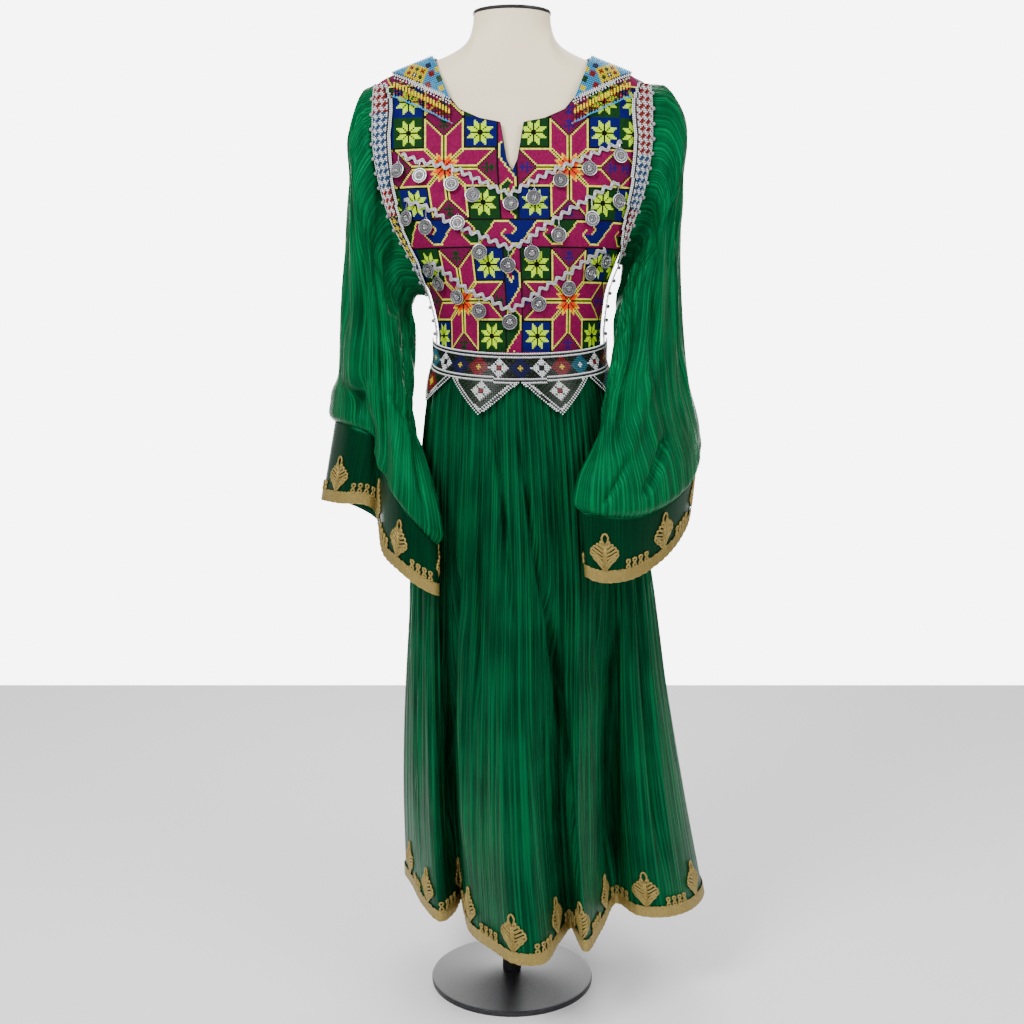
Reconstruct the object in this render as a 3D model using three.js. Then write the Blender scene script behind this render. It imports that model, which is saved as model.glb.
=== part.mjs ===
// A long-sleeved embroidered dress with a gathered skirt, worn by a limbless dress form on a stand.
// Millimetres, +Z up, the front of the dress towards -Y, the origin under the middle of the stand's base.
import * as THREE from 'three';

// Cloth
const clothWall = 1.5;
// How far each trim lies off the panel under it, past the panel's and the trim's own facets
const trimGap = {
  yoke: 3.5,
  fringe: 3.2,
  bandLeft: 2.8,
  bandRight: 4.1,
  ricRac: 1.3,
  skirtBraid: 1.9,
  cuffBraid: 1.3,
};
const seamGap = 0.45;
const bodiceEase = 1;
const formSlack = { body: 5, shoulder: 2 };
const trimWall = 1.5;

// Garment heights
const waistHeight = 1003;

// Stand
const baseRadius = 130;
const baseThickness = 10;
const poleRadius = 15;
const torsoBottom = 800;
const neckTop = 1508;
const capThickness = 6;
const formColumns = 36;

// Skirt gathers: a peak and a valley for each pleat
const skirtPleats = 36;
const sleevePleats = 18;
const palmetteEvery = 9;
const braidHeight = 17;
const palmetteHeight = 56;

const colours = {
  silk: 0x0b7a45,
  cuff: 0x06502c,
  magenta: 0xb3145f,
  beadBlue: 0x6fb7d8,
  beadWhite: 0xc9cfd6,
  beadBlack: 0x1b1c20,
  beadYellow: 0xe9c21f,
  silver: 0xc4c4c6,
  gold: 0xb49a55,
  form: 0xe9e0d0,
  steel: 0x2a2b2d,
};

const finish = (colour, roughness, metalness = 0) =>
  new THREE.MeshStandardMaterial({ color: colour, roughness, metalness });

const materials = {
  silk: finish(colours.silk, 0.4),
  cuff: finish(colours.cuff, 0.4),
  embroidery: finish(colours.magenta, 0.8),
  yokeBeads: finish(colours.beadBlue, 0.3),
  bandBeads: finish(colours.beadWhite, 0.3),
  beltBeads: finish(colours.beadBlack, 0.3),
  fringeBeads: finish(colours.beadYellow, 0.3),
  silver: finish(colours.silver, 0.35, 1),
  gold: finish(colours.gold, 0.5, 0.6),
  form: finish(colours.form, 0.5),
  steel: finish(colours.steel, 0.4, 0.8),
};

// Sections of the torso: half width, depth to the front and to the back, squareness, sideways shift
const torsoSections = [
  { z: 780, halfWidth: 146, front: 90, back: 104, power: 2.2, shift: 13 },
  { z: 860, halfWidth: 144, front: 94, back: 104, power: 2.2, shift: 13 },
  { z: 930, halfWidth: 131, front: 93, back: 96, power: 2.2, shift: 13 },
  { z: 1003, halfWidth: 121, front: 90, back: 86, power: 2.2, shift: 12 },
  { z: 1035, halfWidth: 121, front: 91, back: 85, power: 2.2, shift: 12 },
  { z: 1097, halfWidth: 129, front: 101, back: 89, power: 2.3, shift: 9 },
  { z: 1139, halfWidth: 147, front: 108, back: 94, power: 2.4, shift: 4 },
  { z: 1183, halfWidth: 168, front: 112, back: 98, power: 2.6, shift: 1 },
  { z: 1213, halfWidth: 182, front: 110, back: 99, power: 2.7, shift: 0 },
  { z: 1260, halfWidth: 197, front: 102, back: 98, power: 2.9, shift: 0 },
  { z: 1309, halfWidth: 206, front: 91, back: 95, power: 3, shift: 0 },
  { z: 1360, halfWidth: 210, front: 79, back: 90, power: 3, shift: 0 },
  { z: 1408, halfWidth: 212, front: 67, back: 82, power: 3, shift: 0 },
  { z: 1444, halfWidth: 150, front: 60, back: 72, power: 2.6, shift: 0 },
  { z: 1470, halfWidth: 82, front: 56, back: 64, power: 2.2, shift: 0 },
  { z: 1490, halfWidth: 61, front: 54, back: 58, power: 2, shift: 0 },
  { z: 1540, halfWidth: 58, front: 53, back: 56, power: 2, shift: 0 },
];

// The line along the top of the shoulder, outwards from the middle of the neck
const shoulderLine = [
  { x: 0, z: 1900 },
  { x: 55, z: 1570 },
  { x: 60, z: 1494 },
  { x: 68, z: 1472 },
  { x: 85, z: 1458 },
  { x: 113, z: 1445 },
  { x: 200, z: 1408 },
  { x: 216, z: 1392 },
];
const shoulderRadius = 50;

// Armholes: the lowest point of each, left and right as seen from the front
const armholeBottom = { left: 1098, right: 1148 };
const armholeSetIn = 0.035;
const armholeTurn = 60;

// Smooth value of one column of a table, at a place along another column; the table rises by that column
function along(table, by, at, column) {
  const last = table.length - 1;
  if (at <= table[0][by]) return table[0][column];
  if (at >= table[last][by]) return table[last][column];
  let i = 0;
  while (table[i + 1][by] < at) i += 1;
  const step = (k) => table[k + 1][by] - table[k][by];
  const rise = (k) => (table[k + 1][column] - table[k][column]) / step(k);
  const slope = (k) => {
    if (k === 0) return rise(0);
    if (k === last) return rise(last - 1);
    const [before, after] = [rise(k - 1), rise(k)];
    return before * after <= 0 ? 0 : (2 * before * after) / (before + after);
  };
  const width = step(i);
  const t = (at - table[i][by]) / width;
  const [t2, t3] = [t * t, t * t * t];
  return (
    (2 * t3 - 3 * t2 + 1) * table[i][column] +
    (t3 - 2 * t2 + t) * width * slope(i) +
    (3 * t2 - 2 * t3) * table[i + 1][column] +
    (t3 - t2) * width * slope(i + 1)
  );
}

const mix = (a, b, t) => a + (b - a) * t;
const ease = (t) => t * t * (3 - 2 * t);
const clamp = (t) => Math.min(1, Math.max(0, t));

const torsoAt = (z, column) => along(torsoSections, 'z', z, column);
const shoulderHeight = (x) => along(shoulderLine, 'x', Math.abs(x), 'z');
const sideName = (hand) => (hand < 0 ? 'left' : 'right');

// How far the torso stands out to the front (face -1) or back (face 1) at a place seen from the front
function torsoDepth(x, z, face) {
  const power = torsoAt(z, 'power');
  const across = Math.min(1, Math.abs(x - torsoAt(z, 'shift')) / torsoAt(z, 'halfWidth'));
  const over = 1 - clamp((shoulderHeight(x) - z) / shoulderRadius);
  const plan = Math.max(0, 1 - across ** power) ** (1 / power);
  const shoulder = Math.sqrt(Math.max(0, 1 - over * over));
  return torsoAt(z, face < 0 ? 'front' : 'back') * plan * shoulder;
}

// A level function of space that is zero on the torso, for its surface directions
function torsoLevel(x, y, z, face) {
  const power = torsoAt(z, 'power');
  const across = Math.abs(x - torsoAt(z, 'shift')) / torsoAt(z, 'halfWidth');
  const deep = Math.abs(y) / torsoAt(z, face < 0 ? 'front' : 'back');
  const over = 1 - clamp((shoulderHeight(x) - z) / shoulderRadius);
  return deep ** power - (1 - across ** power) * Math.max(0, 1 - over * over) ** (power / 2);
}

// A point over the torso at a place seen from the front, raised off its surface;
// on a seam it rises in the seam's plane
function onTorso(x, z, face, raise, onSeam = false) {
  const y = face * torsoDepth(x, z, face);
  const probe = 0.5;
  const yProbe = Math.abs(y) < 2 * probe ? face * 2 * probe : y;
  const slope = (dx, dy, dz) =>
    torsoLevel(x + dx, yProbe + dy, z + dz, face) - torsoLevel(x - dx, yProbe - dy, z - dz, face);
  const normal = new THREE.Vector3(slope(probe, 0, 0), slope(0, probe, 0), slope(0, 0, probe));
  if (onSeam) normal.y = 0;
  normal.normalize();
  const point = new THREE.Vector3(x, y, z).addScaledVector(normal, raise);
  if (onSeam) point.y = face * seamGap;
  return point;
}

// Half width of the bodice's side seam and armhole edge from the torso's middle line, at a height
function edgeHalfWidth(z, hand) {
  const turn = ease(clamp((z - armholeBottom[sideName(hand)]) / armholeTurn));
  const height = Math.min(z, shoulderLine[6].z);
  return Math.min(200.5, torsoAt(height, 'halfWidth') * (1 - armholeSetIn * turn));
}

const edgeX = (z, hand) => torsoAt(z, 'shift') + hand * edgeHalfWidth(z, hand);

// The place seen from the front that is a distance in from the side edge, measured round the torso
function inFromEdge(z, hand, distance, face) {
  const halfWidth = torsoAt(z, 'halfWidth');
  const steps = 240;
  let share = edgeHalfWidth(z, hand) / halfWidth;
  let angle = Math.acos(Math.min(1, share) ** 2);
  let walked = 0;
  let before = new THREE.Vector2(edgeX(z, hand), face * torsoDepth(edgeX(z, hand), z, face));
  for (let i = 0; i < steps && walked < distance; i += 1) {
    angle += Math.PI / 2 / steps;
    share = Math.sqrt(Math.max(0, Math.cos(angle)));
    const x = torsoAt(z, 'shift') + hand * halfWidth * share;
    const here = new THREE.Vector2(x, face * torsoDepth(x, z, face));
    walked += here.distanceTo(before);
    before = here;
  }
  return before.x;
}

// A closed body from lists of points and triangles, turned so that its faces point out
function solidGeometry(points, triangles) {
  const positions = new Float32Array(points.flatMap((p) => [p.x, p.y, p.z]));
  const volume = triangles.reduce((sum, [a, b, c]) => {
    const [p, q, r] = [points[a], points[b], points[c]];
    return sum + new THREE.Vector3().crossVectors(p, q).dot(r);
  }, 0);
  const index = volume > 0 ? triangles.flat() : triangles.flatMap(([a, b, c]) => [a, c, b]);
  const geometry = new THREE.BufferGeometry();
  geometry.setAttribute('position', new THREE.BufferAttribute(positions, 3));
  geometry.setIndex(index);
  geometry.computeVertexNormals();
  return geometry;
}

// A closed body between two matching grids of points, as rows of columns;
// a round grid joins its last column to the first
function wallBetween(outer, inner, isRound = false) {
  const rows = outer.length;
  const columns = outer[0].length;
  const points = [...outer.flat(), ...inner.flat()];
  const at = (layer, r, c) => layer * rows * columns + r * columns + (c % columns);
  const triangles = [];
  const quad = (a, b, c, d) => triangles.push([a, b, c], [a, c, d]);
  const spans = isRound ? columns : columns - 1;
  for (let r = 0; r < rows - 1; r += 1) {
    for (let c = 0; c < spans; c += 1) {
      quad(at(0, r, c), at(0, r, c + 1), at(0, r + 1, c + 1), at(0, r + 1, c));
      quad(at(1, r, c), at(1, r + 1, c), at(1, r + 1, c + 1), at(1, r, c + 1));
    }
  }
  for (let c = 0; c < spans; c += 1) {
    quad(at(0, 0, c), at(1, 0, c), at(1, 0, c + 1), at(0, 0, c + 1));
    quad(at(0, rows - 1, c), at(0, rows - 1, c + 1), at(1, rows - 1, c + 1), at(1, rows - 1, c));
  }
  if (!isRound) {
    for (let r = 0; r < rows - 1; r += 1) {
      quad(at(0, r, 0), at(0, r + 1, 0), at(1, r + 1, 0), at(1, r, 0));
      const c = columns - 1;
      quad(at(0, r, c), at(1, r, c), at(1, r + 1, c), at(0, r + 1, c));
    }
  }
  return solidGeometry(points, triangles);
}

// Surface directions of a stack of rings
function ringNormals(grid) {
  const rows = grid.length;
  const columns = grid[0].length;
  const pick = (r, c) => grid[Math.min(rows - 1, Math.max(0, r))][(c + columns) % columns];
  return grid.map((row, r) =>
    row.map((_, c) => {
      const across = new THREE.Vector3().subVectors(pick(r, c + 1), pick(r, c - 1));
      const down = new THREE.Vector3().subVectors(pick(r + 1, c), pick(r - 1, c));
      return new THREE.Vector3().crossVectors(across, down).normalize();
    }),
  );
}

// A ring or row of points moved sideways in plan by a distance, its corners kept sharp
function offsetPlan(row, distance, isRound) {
  const count = row.length;
  const pick = (i) => (isRound ? row[(i + count) % count] : row[Math.min(count - 1, Math.max(0, i))]);
  const edgeNormal = (from, to) => new THREE.Vector3(to.y - from.y, from.x - to.x, 0).normalize();
  return row.map((p, i) => {
    const before = edgeNormal(pick(i - 1), p);
    const after = edgeNormal(p, pick(i + 1));
    const out = before.clone().add(after).normalize();
    const known = before.lengthSq() > 0 ? before : after;
    return p.clone().addScaledVector(out, distance / Math.max(0.45, out.dot(known)));
  });
}

const moveGrid = (grid, normals, distance) =>
  grid.map((row, r) => row.map((p, c) => p.clone().addScaledVector(normals[r][c], distance)));

const dress = new THREE.Group();
dress.name = 'embroidered_dress_on_form';

function addPiece(name, geometry, material) {
  const mesh = new THREE.Mesh(geometry, material);
  mesh.name = name;
  dress.add(mesh);
  return mesh;
}

// The dress form: a torso of closed rings, with a neck, a pole and a round base
function widestAt(z) {
  let [near, far] = [0, shoulderLine[7].x];
  if (shoulderHeight(far) > z) return torsoAt(z, 'halfWidth');
  for (let i = 0; i < 40; i += 1) {
    const middle = (near + far) / 2;
    if (shoulderHeight(middle) > z) near = middle;
    else far = middle;
  }
  return Math.min(near, torsoAt(z, 'halfWidth'));
}

function torsoRing(z, columns) {
  const widest = widestAt(z) - 0.01;
  const slack = mix(formSlack.body, formSlack.shoulder, ease(clamp((z - 1375) / 30)));
  return Array.from({ length: columns }, (_, i) => {
    const angle = (2 * Math.PI * i) / columns;
    const face = Math.sin(angle) > 0 ? -1 : 1;
    const share = Math.sign(Math.cos(angle)) * Math.sqrt(Math.abs(Math.cos(angle)));
    const x = torsoAt(z, 'shift') + widest * mix(Math.cos(angle), share, 0.55);
    const isEnd = i % (columns / 2) === 0;
    const point = onTorso(x, z, face, -slack, isEnd);
    if (isEnd) point.y = 0;
    return point;
  });
}

function closedLoft(rings) {
  const columns = rings[0].length;
  const points = rings.flat();
  const triangles = [];
  for (let r = 0; r < rings.length - 1; r += 1) {
    for (let c = 0; c < columns; c += 1) {
      const [a, b] = [r * columns + c, r * columns + ((c + 1) % columns)];
      triangles.push([a, b, b + columns], [a, b + columns, a + columns]);
    }
  }
  const middle = (ring) => ring.reduce((sum, p) => sum.add(p), new THREE.Vector3()).divideScalar(ring.length);
  const low = points.push(middle(rings[0])) - 1;
  const high = points.push(middle(rings[rings.length - 1])) - 1;
  const lastRow = (rings.length - 1) * columns;
  for (let c = 0; c < columns; c += 1) {
    triangles.push([low, (c + 1) % columns, c], [high, lastRow + c, lastRow + ((c + 1) % columns)]);
  }
  return solidGeometry(points, triangles);
}

function buildForm() {
  const heights = [
    torsoBottom, 900, 1003, 1070, 1130, 1185, 1250, 1320, 1365, 1390, 1404, 1418,
    1431, 1442, 1451, 1460, 1472, neckTop,
  ];
  addPiece('form_torso', closedLoft(heights.map((z) => torsoRing(z, formColumns))), materials.form);

  const capRing = (z, grow) =>
    torsoRing(neckTop - 2, formColumns).map((p) => new THREE.Vector3(p.x * grow, p.y * grow, z));
  const capBottom = neckTop + 0.3;
  const capEdge = capBottom + capThickness * 0.67;
  const cap = [capRing(capBottom, 1.02), capRing(capEdge, 1.02), capRing(capBottom + capThickness, 0.9)];
  addPiece('form_neck_cap', closedLoft(cap), materials.steel);

  const poleTop = torsoBottom - 0.3;
  const poleBottom = baseThickness + 6.3;
  const pole = new THREE.CylinderGeometry(poleRadius, poleRadius, poleTop - poleBottom, 16);
  pole.rotateX(Math.PI / 2);
  const poleMesh = addPiece('stand_pole', pole, materials.steel);
  poleMesh.position.set(0, 0, (poleTop + poleBottom) / 2);

  const profile = [
    [0, 0], [baseRadius - 3, 0], [baseRadius, 3], [baseRadius - 4, baseThickness - 2],
    [40, baseThickness + 3], [24, baseThickness + 6], [0, baseThickness + 6],
  ].map(([r, z]) => new THREE.Vector2(r, z));
  const base = new THREE.LatheGeometry(profile, 24);
  base.rotateX(Math.PI / 2);
  addPiece('stand_base', base, materials.steel);
}

// The bodice: columns of points from the waist up to the armhole, shoulder seam or neckline
const frontTopEdge = [
  { x: 200, seam: true }, { x: 172, seam: true }, { x: 142, seam: true }, { x: 113, seam: true },
  { x: 110, z: 1434 }, { x: 105, z: 1414 }, { x: 95, z: 1386 }, { x: 76, z: 1362 }, { x: 47, z: 1349 },
  { x: 17, z: 1343 }, { x: 8, z: 1290 }, { x: 0, z: 1272 },
];
const backTopEdge = [
  { x: 200, seam: true }, { x: 172, seam: true }, { x: 142, seam: true }, { x: 113, seam: true },
  { x: 94, z: 1448 }, { x: 74, z: 1454 }, { x: 60, z: 1459 }, { x: 36, z: 1462 }, { x: 0, z: 1463 },
];
const dropsFromTop = [0, 2, 8, 20, 40, 72];
const lowerRows = 7;

function bodiceColumn(edge, rank, count, hand, face, raise) {
  const spread = Math.sin((Math.PI / 2) * (1 - rank / (count - 1)));
  const topX = hand * edge.x;
  const topZ = edge.seam ? shoulderHeight(edge.x) : edge.z;
  const bottomZ = waistHeight + seamGap;
  const kneeZ = topZ - dropsFromTop[dropsFromTop.length - 1];
  const heights = [
    ...dropsFromTop.map((drop) => topZ - drop),
    ...Array.from({ length: lowerRows }, (_, i) => mix(kneeZ, bottomZ, (i + 1) / lowerRows)),
  ];
  return heights.map((z, r) => {
    const isOuter = rank === 0;
    const isSideSeam = isOuter && z <= armholeBottom[sideName(hand)];
    if (isOuter) return onTorso(edgeX(z, hand), z, face, raise, isSideSeam || r === 0);
    const topShare = Math.abs(topX) / edgeHalfWidth(Math.min(topZ, 1400), hand);
    const settle = ease(clamp((topZ - z) / (topZ - bottomZ)));
    const x = torsoAt(z, 'shift') + hand * edgeHalfWidth(z, hand) * mix(topShare, spread, settle);
    return onTorso(x, z, face, raise, edge.seam === true && r === 0);
  });
}

function bodicePanel(topEdge, face) {
  const layer = (raise) => {
    const half = (hand) => topEdge.map((edge, i) => bodiceColumn(edge, i, topEdge.length, hand, face, raise));
    const [left, right] = [half(-1), half(1)];
    const columns = [...left, ...right.slice(0, -1).reverse()];
    return columns[0].map((_, r) => columns.map((column) => column[r]));
  };
  return wallBetween(layer(bodiceEase + clothWall), layer(bodiceEase));
}

// Trims lie on the front panel itself: a place seen from the front is looked up on its outer face
const frontPanel = new THREE.Mesh(bodicePanel(frontTopEdge, -1));
const sight = new THREE.Raycaster();

function onPanel(x, z, raise) {
  sight.set(new THREE.Vector3(x, -500, z), new THREE.Vector3(0, 1, 0));
  const [hit] = sight.intersectObject(frontPanel);
  const base = onTorso(x, z, -1, 0);
  const out = onTorso(x, z, -1, 1).sub(base);
  const foot = hit ? hit.point.clone() : base.addScaledVector(out, bodiceEase + clothWall);
  return foot.addScaledVector(out, raise);
}

function trimOnFront(placeRows, raise) {
  const layer = (up) => placeRows.map((row) => row.map(([x, z]) => onPanel(x, z, up)));
  return wallBetween(layer(raise + trimWall), layer(raise));
}

// Beaded shoulder yoke: a triangle from the shoulder seam down to the neckline
const yokeCorners = { outerX: 174, neckX: 114, tipX: 84, tipZ: 1371, seamDrop: 1.5 };
const yokeRows = [0, 0.1, 0.24, 0.42, 0.66, 0.94];

function yokePlace(hand, seamX, down, drop = 0) {
  const seamZ = shoulderHeight(seamX) - yokeCorners.seamDrop;
  return [hand * mix(seamX, yokeCorners.tipX, down), mix(seamZ, yokeCorners.tipZ, down ** 1.15) - drop];
}

function yokePlaces(hand) {
  const spans = 5;
  return yokeRows.map((down) =>
    Array.from({ length: spans + 1 }, (_, i) =>
      yokePlace(hand, mix(yokeCorners.outerX, yokeCorners.neckX, i / spans), down),
    ),
  );
}

// Bead fringe: a comb that hangs from the yoke's lower edge
const fringe = { strands: 16, length: 22, strip: 2.4, drop: 1.1, thickness: 1.8, from: 0.09, to: 0.93 };

function fringeGeometry(hand) {
  const columns = [{ at: 0, hangs: false }];
  for (let i = 0; i < fringe.strands; i += 1) {
    columns.push({ at: i + 0.2, hangs: false }, { at: i + 0.28, hangs: true });
    columns.push({ at: i + 0.72, hangs: true }, { at: i + 0.8, hangs: false });
  }
  columns.push({ at: fringe.strands, hangs: false });
  const layer = (raise) => {
    const place = (at, below) => {
      const down = mix(fringe.from, fringe.to, at / fringe.strands);
      const [x, z] = yokePlace(hand, yokeCorners.outerX, down, fringe.drop + below);
      return onPanel(x, z, raise);
    };
    return [
      columns.map(({ at }) => place(at, 0)),
      columns.map(({ at, hangs }) => place(at, fringe.strip + (hangs ? fringe.length : 0))),
    ];
  };
  return wallBetween(layer(trimGap.fringe + fringe.thickness), layer(trimGap.fringe));
}

// Shared corners made one, so that a shape is a single closed body
function weld(geometry) {
  const places = geometry.getAttribute('position');
  const source = Array.from({ length: places.count }, (_, i) => i);
  const known = new Map();
  const points = [];
  const index = source.map((i) => {
    const key = [places.getX(i), places.getY(i), places.getZ(i)].map((v) => v.toFixed(4)).join();
    if (!known.has(key)) {
      known.set(key, points.length);
      points.push(new THREE.Vector3().fromBufferAttribute(places, i));
    }
    return known.get(key);
  });
  const triangles = [];
  for (let i = 0; i < index.length; i += 3) {
    const [a, b, c] = index.slice(i, i + 3);
    if (a !== b && b !== c && a !== c) triangles.push([a, b, c]);
  }
  return { points, triangles };
}

const orientOut = ({ points, triangles }) => solidGeometry(points, triangles);

// Beaded band: from the shoulder seam round the armhole and down the side to the waist
const bandWidths = [
  { z: 1003, width: 22 },
  { z: 1110, width: 23 },
  { z: 1180, width: 27 },
  { z: 1225, width: 34 },
  { z: 1300, width: 38 },
  { z: 1370, width: 38 },
  { z: 1410, width: 25 },
];

const bandGap = (hand) => (hand < 0 ? trimGap.bandLeft : trimGap.bandRight);

function bandPlaces(hand) {
  const rows = 18;
  const across = [1.2, 0.34, 0.67, 1];
  return Array.from({ length: rows }, (_, r) =>
    across.map((share, c) => {
      const rise = 1 - (1 - r / (rows - 1)) ** 1.25;
      const bottom = waistHeight + 8;
      let z = mix(bottom, 1402, rise);
      const distance = c === 0 ? share : share * along(bandWidths, 'z', z, 'width');
      let x = inFromEdge(z, hand, distance, -1);
      const top = shoulderHeight(x) - 1.6;
      z = mix(bottom, Math.min(top, 1430), rise);
      x = inFromEdge(Math.min(z, 1404), hand, distance, -1);
      return [x, Math.min(z, shoulderHeight(x) - 1.6)];
    }),
  );
}

// Silver braid in three swags, each with a row of coins under it
const swags = [
  {
    name: 'upper',
    line: [
      { x: -158, z: 1297 }, { x: -130, z: 1287 }, { x: -86, z: 1277 },
      { x: -43, z: 1257 }, { x: -4, z: 1241 },
      { x: 22, z: 1254 }, { x: 56, z: 1271 }, { x: 88, z: 1285 }, { x: 128, z: 1303 }, { x: 157, z: 1315 },
    ],
    coins: [
      { x: -162, z: 1276, onBand: true }, { x: -131, z: 1267 }, { x: -86, z: 1254 },
      { x: -56, z: 1238 }, { x: -2, z: 1226 },
      { x: 31, z: 1234 }, { x: 69, z: 1259 }, { x: 110, z: 1276 }, { x: 154, z: 1296 },
    ],
  },
  {
    name: 'middle',
    line: [
      { x: -153, z: 1234 }, { x: -114, z: 1219 }, { x: -92, z: 1203 },
      { x: -44, z: 1182 }, { x: -4, z: 1166 },
      { x: 13, z: 1171 }, { x: 49, z: 1197 }, { x: 76, z: 1214 },
      { x: 103, z: 1231 }, { x: 134, z: 1250 }, { x: 152, z: 1259 },
    ],
    coins: [
      { x: -149, z: 1210, onBand: true }, { x: -122, z: 1196 }, { x: -77, z: 1200 },
      { x: -46, z: 1160 }, { x: -6, z: 1141 },
      { x: 28, z: 1158 }, { x: 66, z: 1183 }, { x: 113, z: 1207 }, { x: 151, z: 1233 },
    ],
  },
  {
    name: 'lower',
    line: [
      { x: -116, z: 1146 }, { x: -91, z: 1130 }, { x: -63, z: 1107 }, { x: -32, z: 1093 }, { x: -3, z: 1079 },
      { x: 22, z: 1093 }, { x: 50, z: 1112 }, { x: 78, z: 1129 }, { x: 106, z: 1149 }, { x: 132, z: 1167 },
    ],
    coins: [
      { x: -118, z: 1137 }, { x: -104, z: 1118 }, { x: -77, z: 1097 },
      { x: -46, z: 1077 }, { x: -3, z: 1061 },
      { x: 38, z: 1087 }, { x: 80, z: 1109 }, { x: 111, z: 1132 }, { x: 133, z: 1149 },
    ],
  },
];
const ricRac = { halfWave: 7, swing: 3, width: 4.4 };

function pointsAlong(line, spacing) {
  const curve = new THREE.CatmullRomCurve3(line.map(({ x, z }) => new THREE.Vector3(x, 0, z)));
  const count = Math.round(curve.getLength() / spacing);
  return Array.from({ length: count + 1 }, (_, i) => ({
    at: curve.getPointAt(i / count),
    along: curve.getTangentAt(i / count),
  }));
}

function ricRacPlaces(line) {
  const places = pointsAlong(line, ricRac.halfWave).map(({ at, along: way }, i) => {
    const up = new THREE.Vector3(-way.z, 0, way.x);
    const middle = at.clone().addScaledVector(up, ricRac.swing * (i % 2 ? 1 : -1));
    const edge = (side) => middle.clone().addScaledVector(up, (side * ricRac.width) / 2);
    return [edge(1), edge(-1)];
  });
  return [0, 1].map((side) => places.map((pair) => [pair[side].x, pair[side].z]));
}

const coin = {
  radius: 11,
  thickness: 1.2,
  clear: 0.9,
  bandClear: 0.8,
  linkWidth: 3,
  linkLap: 1.5,
  facets: 10,
};

function coinGeometry(linkTop) {
  const outline = new THREE.Shape();
  const linkAngle = Math.asin(coin.linkWidth / coin.radius);
  outline.moveTo(-coin.linkWidth, coin.radius * Math.cos(linkAngle));
  for (let i = 1; i < coin.facets; i += 1) {
    const angle = Math.PI / 2 + linkAngle + ((2 * Math.PI - 2 * linkAngle) * i) / (coin.facets - 1);
    outline.lineTo(coin.radius * Math.cos(angle), coin.radius * Math.sin(angle));
  }
  outline.lineTo(coin.linkWidth * 0.6, linkTop);
  outline.lineTo(-coin.linkWidth * 0.6, linkTop);
  const disc = new THREE.ExtrudeGeometry(outline, { depth: coin.thickness, bevelEnabled: false });
  return orientOut(weld(disc));
}

// A coin hangs down the panel from its link, whose tip lies on the silver braid above it
function placeCoin(name, place, line, hand) {
  const tipHeight = along(line, 'x', place.x, 'z');
  const braidTop = trimGap.ricRac + trimWall + coin.clear;
  const at = onPanel(place.x, place.z, place.onBand ? bandGap(hand) + trimWall + coin.bandClear : braidTop);
  const tip = onPanel(place.x, tipHeight, braidTop);
  const up = tip.clone().sub(at);
  const reach = up.length();
  up.normalize();
  const out = onTorso(place.x, place.z, -1, 1).sub(onTorso(place.x, place.z, -1, 0));
  const sideways = up.clone().cross(out).normalize();
  const mesh = addPiece(name, coinGeometry(reach + coin.linkLap), materials.silver);
  const turn = new THREE.Matrix4().makeBasis(sideways, up, sideways.clone().cross(up));
  mesh.quaternion.setFromRotationMatrix(turn);
  mesh.position.copy(at);
}

// Beaded belt with four hanging points, over the waist seam
const belt = {
  rise: 10.5,
  thickness: 1.8,
  topMiddle: 1015,
  topSide: 1036,
  bottomMiddle: 972,
  bottomSide: 996,
};
const beltPoints = [
  { at: -0.78, reach: 48 },
  { at: -0.26, reach: 50 },
  { at: 0.26, reach: 50 },
  { at: 0.78, reach: 48 },
];
const beltPointHalf = 0.255;
const beltFlare = 0.3;

// A place on the front of the waist: turn runs from -1 at the left side seam to 1 at the right one
function onWaist(turn, z, raise) {
  const height = Math.max(z, waistHeight);
  const angle = (Math.PI / 2) * turn;
  const [wide, deep] = [torsoAt(height, 'halfWidth') + raise, torsoAt(height, 'front') + raise];
  const flare = Math.max(0, waistHeight - z) * beltFlare;
  return new THREE.Vector3(
    torsoAt(height, 'shift') + (wide + flare) * Math.sin(angle),
    -(deep + flare) * Math.cos(angle),
    z,
  );
}

function beltGeometry() {
  const columns = 44;
  const layer = (raise) => {
    const rows = [[], [], [], []];
    for (let i = 0; i <= columns; i += 1) {
      const turn = mix(-1.02, 1.02, i / columns);
      const bend = turn * turn;
      const top = mix(belt.topMiddle, belt.topSide, bend);
      const bottom = mix(belt.bottomMiddle, belt.bottomSide, bend);
      const reach = beltPoints.reduce(
        (most, point) => Math.max(most, point.reach * (1 - Math.abs(turn - point.at) / beltPointHalf)),
        0.8,
      );
      rows[0].push(onWaist(turn, top, raise));
      rows[1].push(onWaist(turn, bottom, raise));
      rows[2].push(onWaist(turn, bottom - reach * 0.5, raise));
      rows[3].push(onWaist(turn, bottom - reach, raise));
    }
    return rows;
  };
  return wallBetween(layer(belt.rise + belt.thickness), layer(belt.rise));
}

// Skirt sections from the waist to the hem: height, half width, depths, sideways shift,
// the share of the hem's folds and the depth of the gathers
const skirtSections = [
  { t: 0, z: 1002.8, halfWidth: 128.5, front: 97, back: 93, shift: 12, folds: 0, gather: 2.6 },
  { t: 0.05, z: 960, halfWidth: 138, front: 106, back: 104, shift: 13, folds: 0.01, gather: 3.4 },
  { t: 0.17, z: 858, halfWidth: 156, front: 122, back: 124, shift: 19, folds: 0.08, gather: 4 },
  { t: 0.36, z: 692, halfWidth: 184, front: 140, back: 148, shift: 29, folds: 0.29, gather: 4.2 },
  { t: 0.58, z: 502, halfWidth: 206, front: 156, back: 166, shift: 37, folds: 0.56, gather: 3.9 },
  { t: 0.8, z: 320, halfWidth: 226, front: 164, back: 176, shift: 50, folds: 0.82, gather: 3 },
  { t: 1, z: 148, halfWidth: 242, front: 168, back: 182, shift: 68, folds: 1, gather: 0.8 },
];

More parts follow.
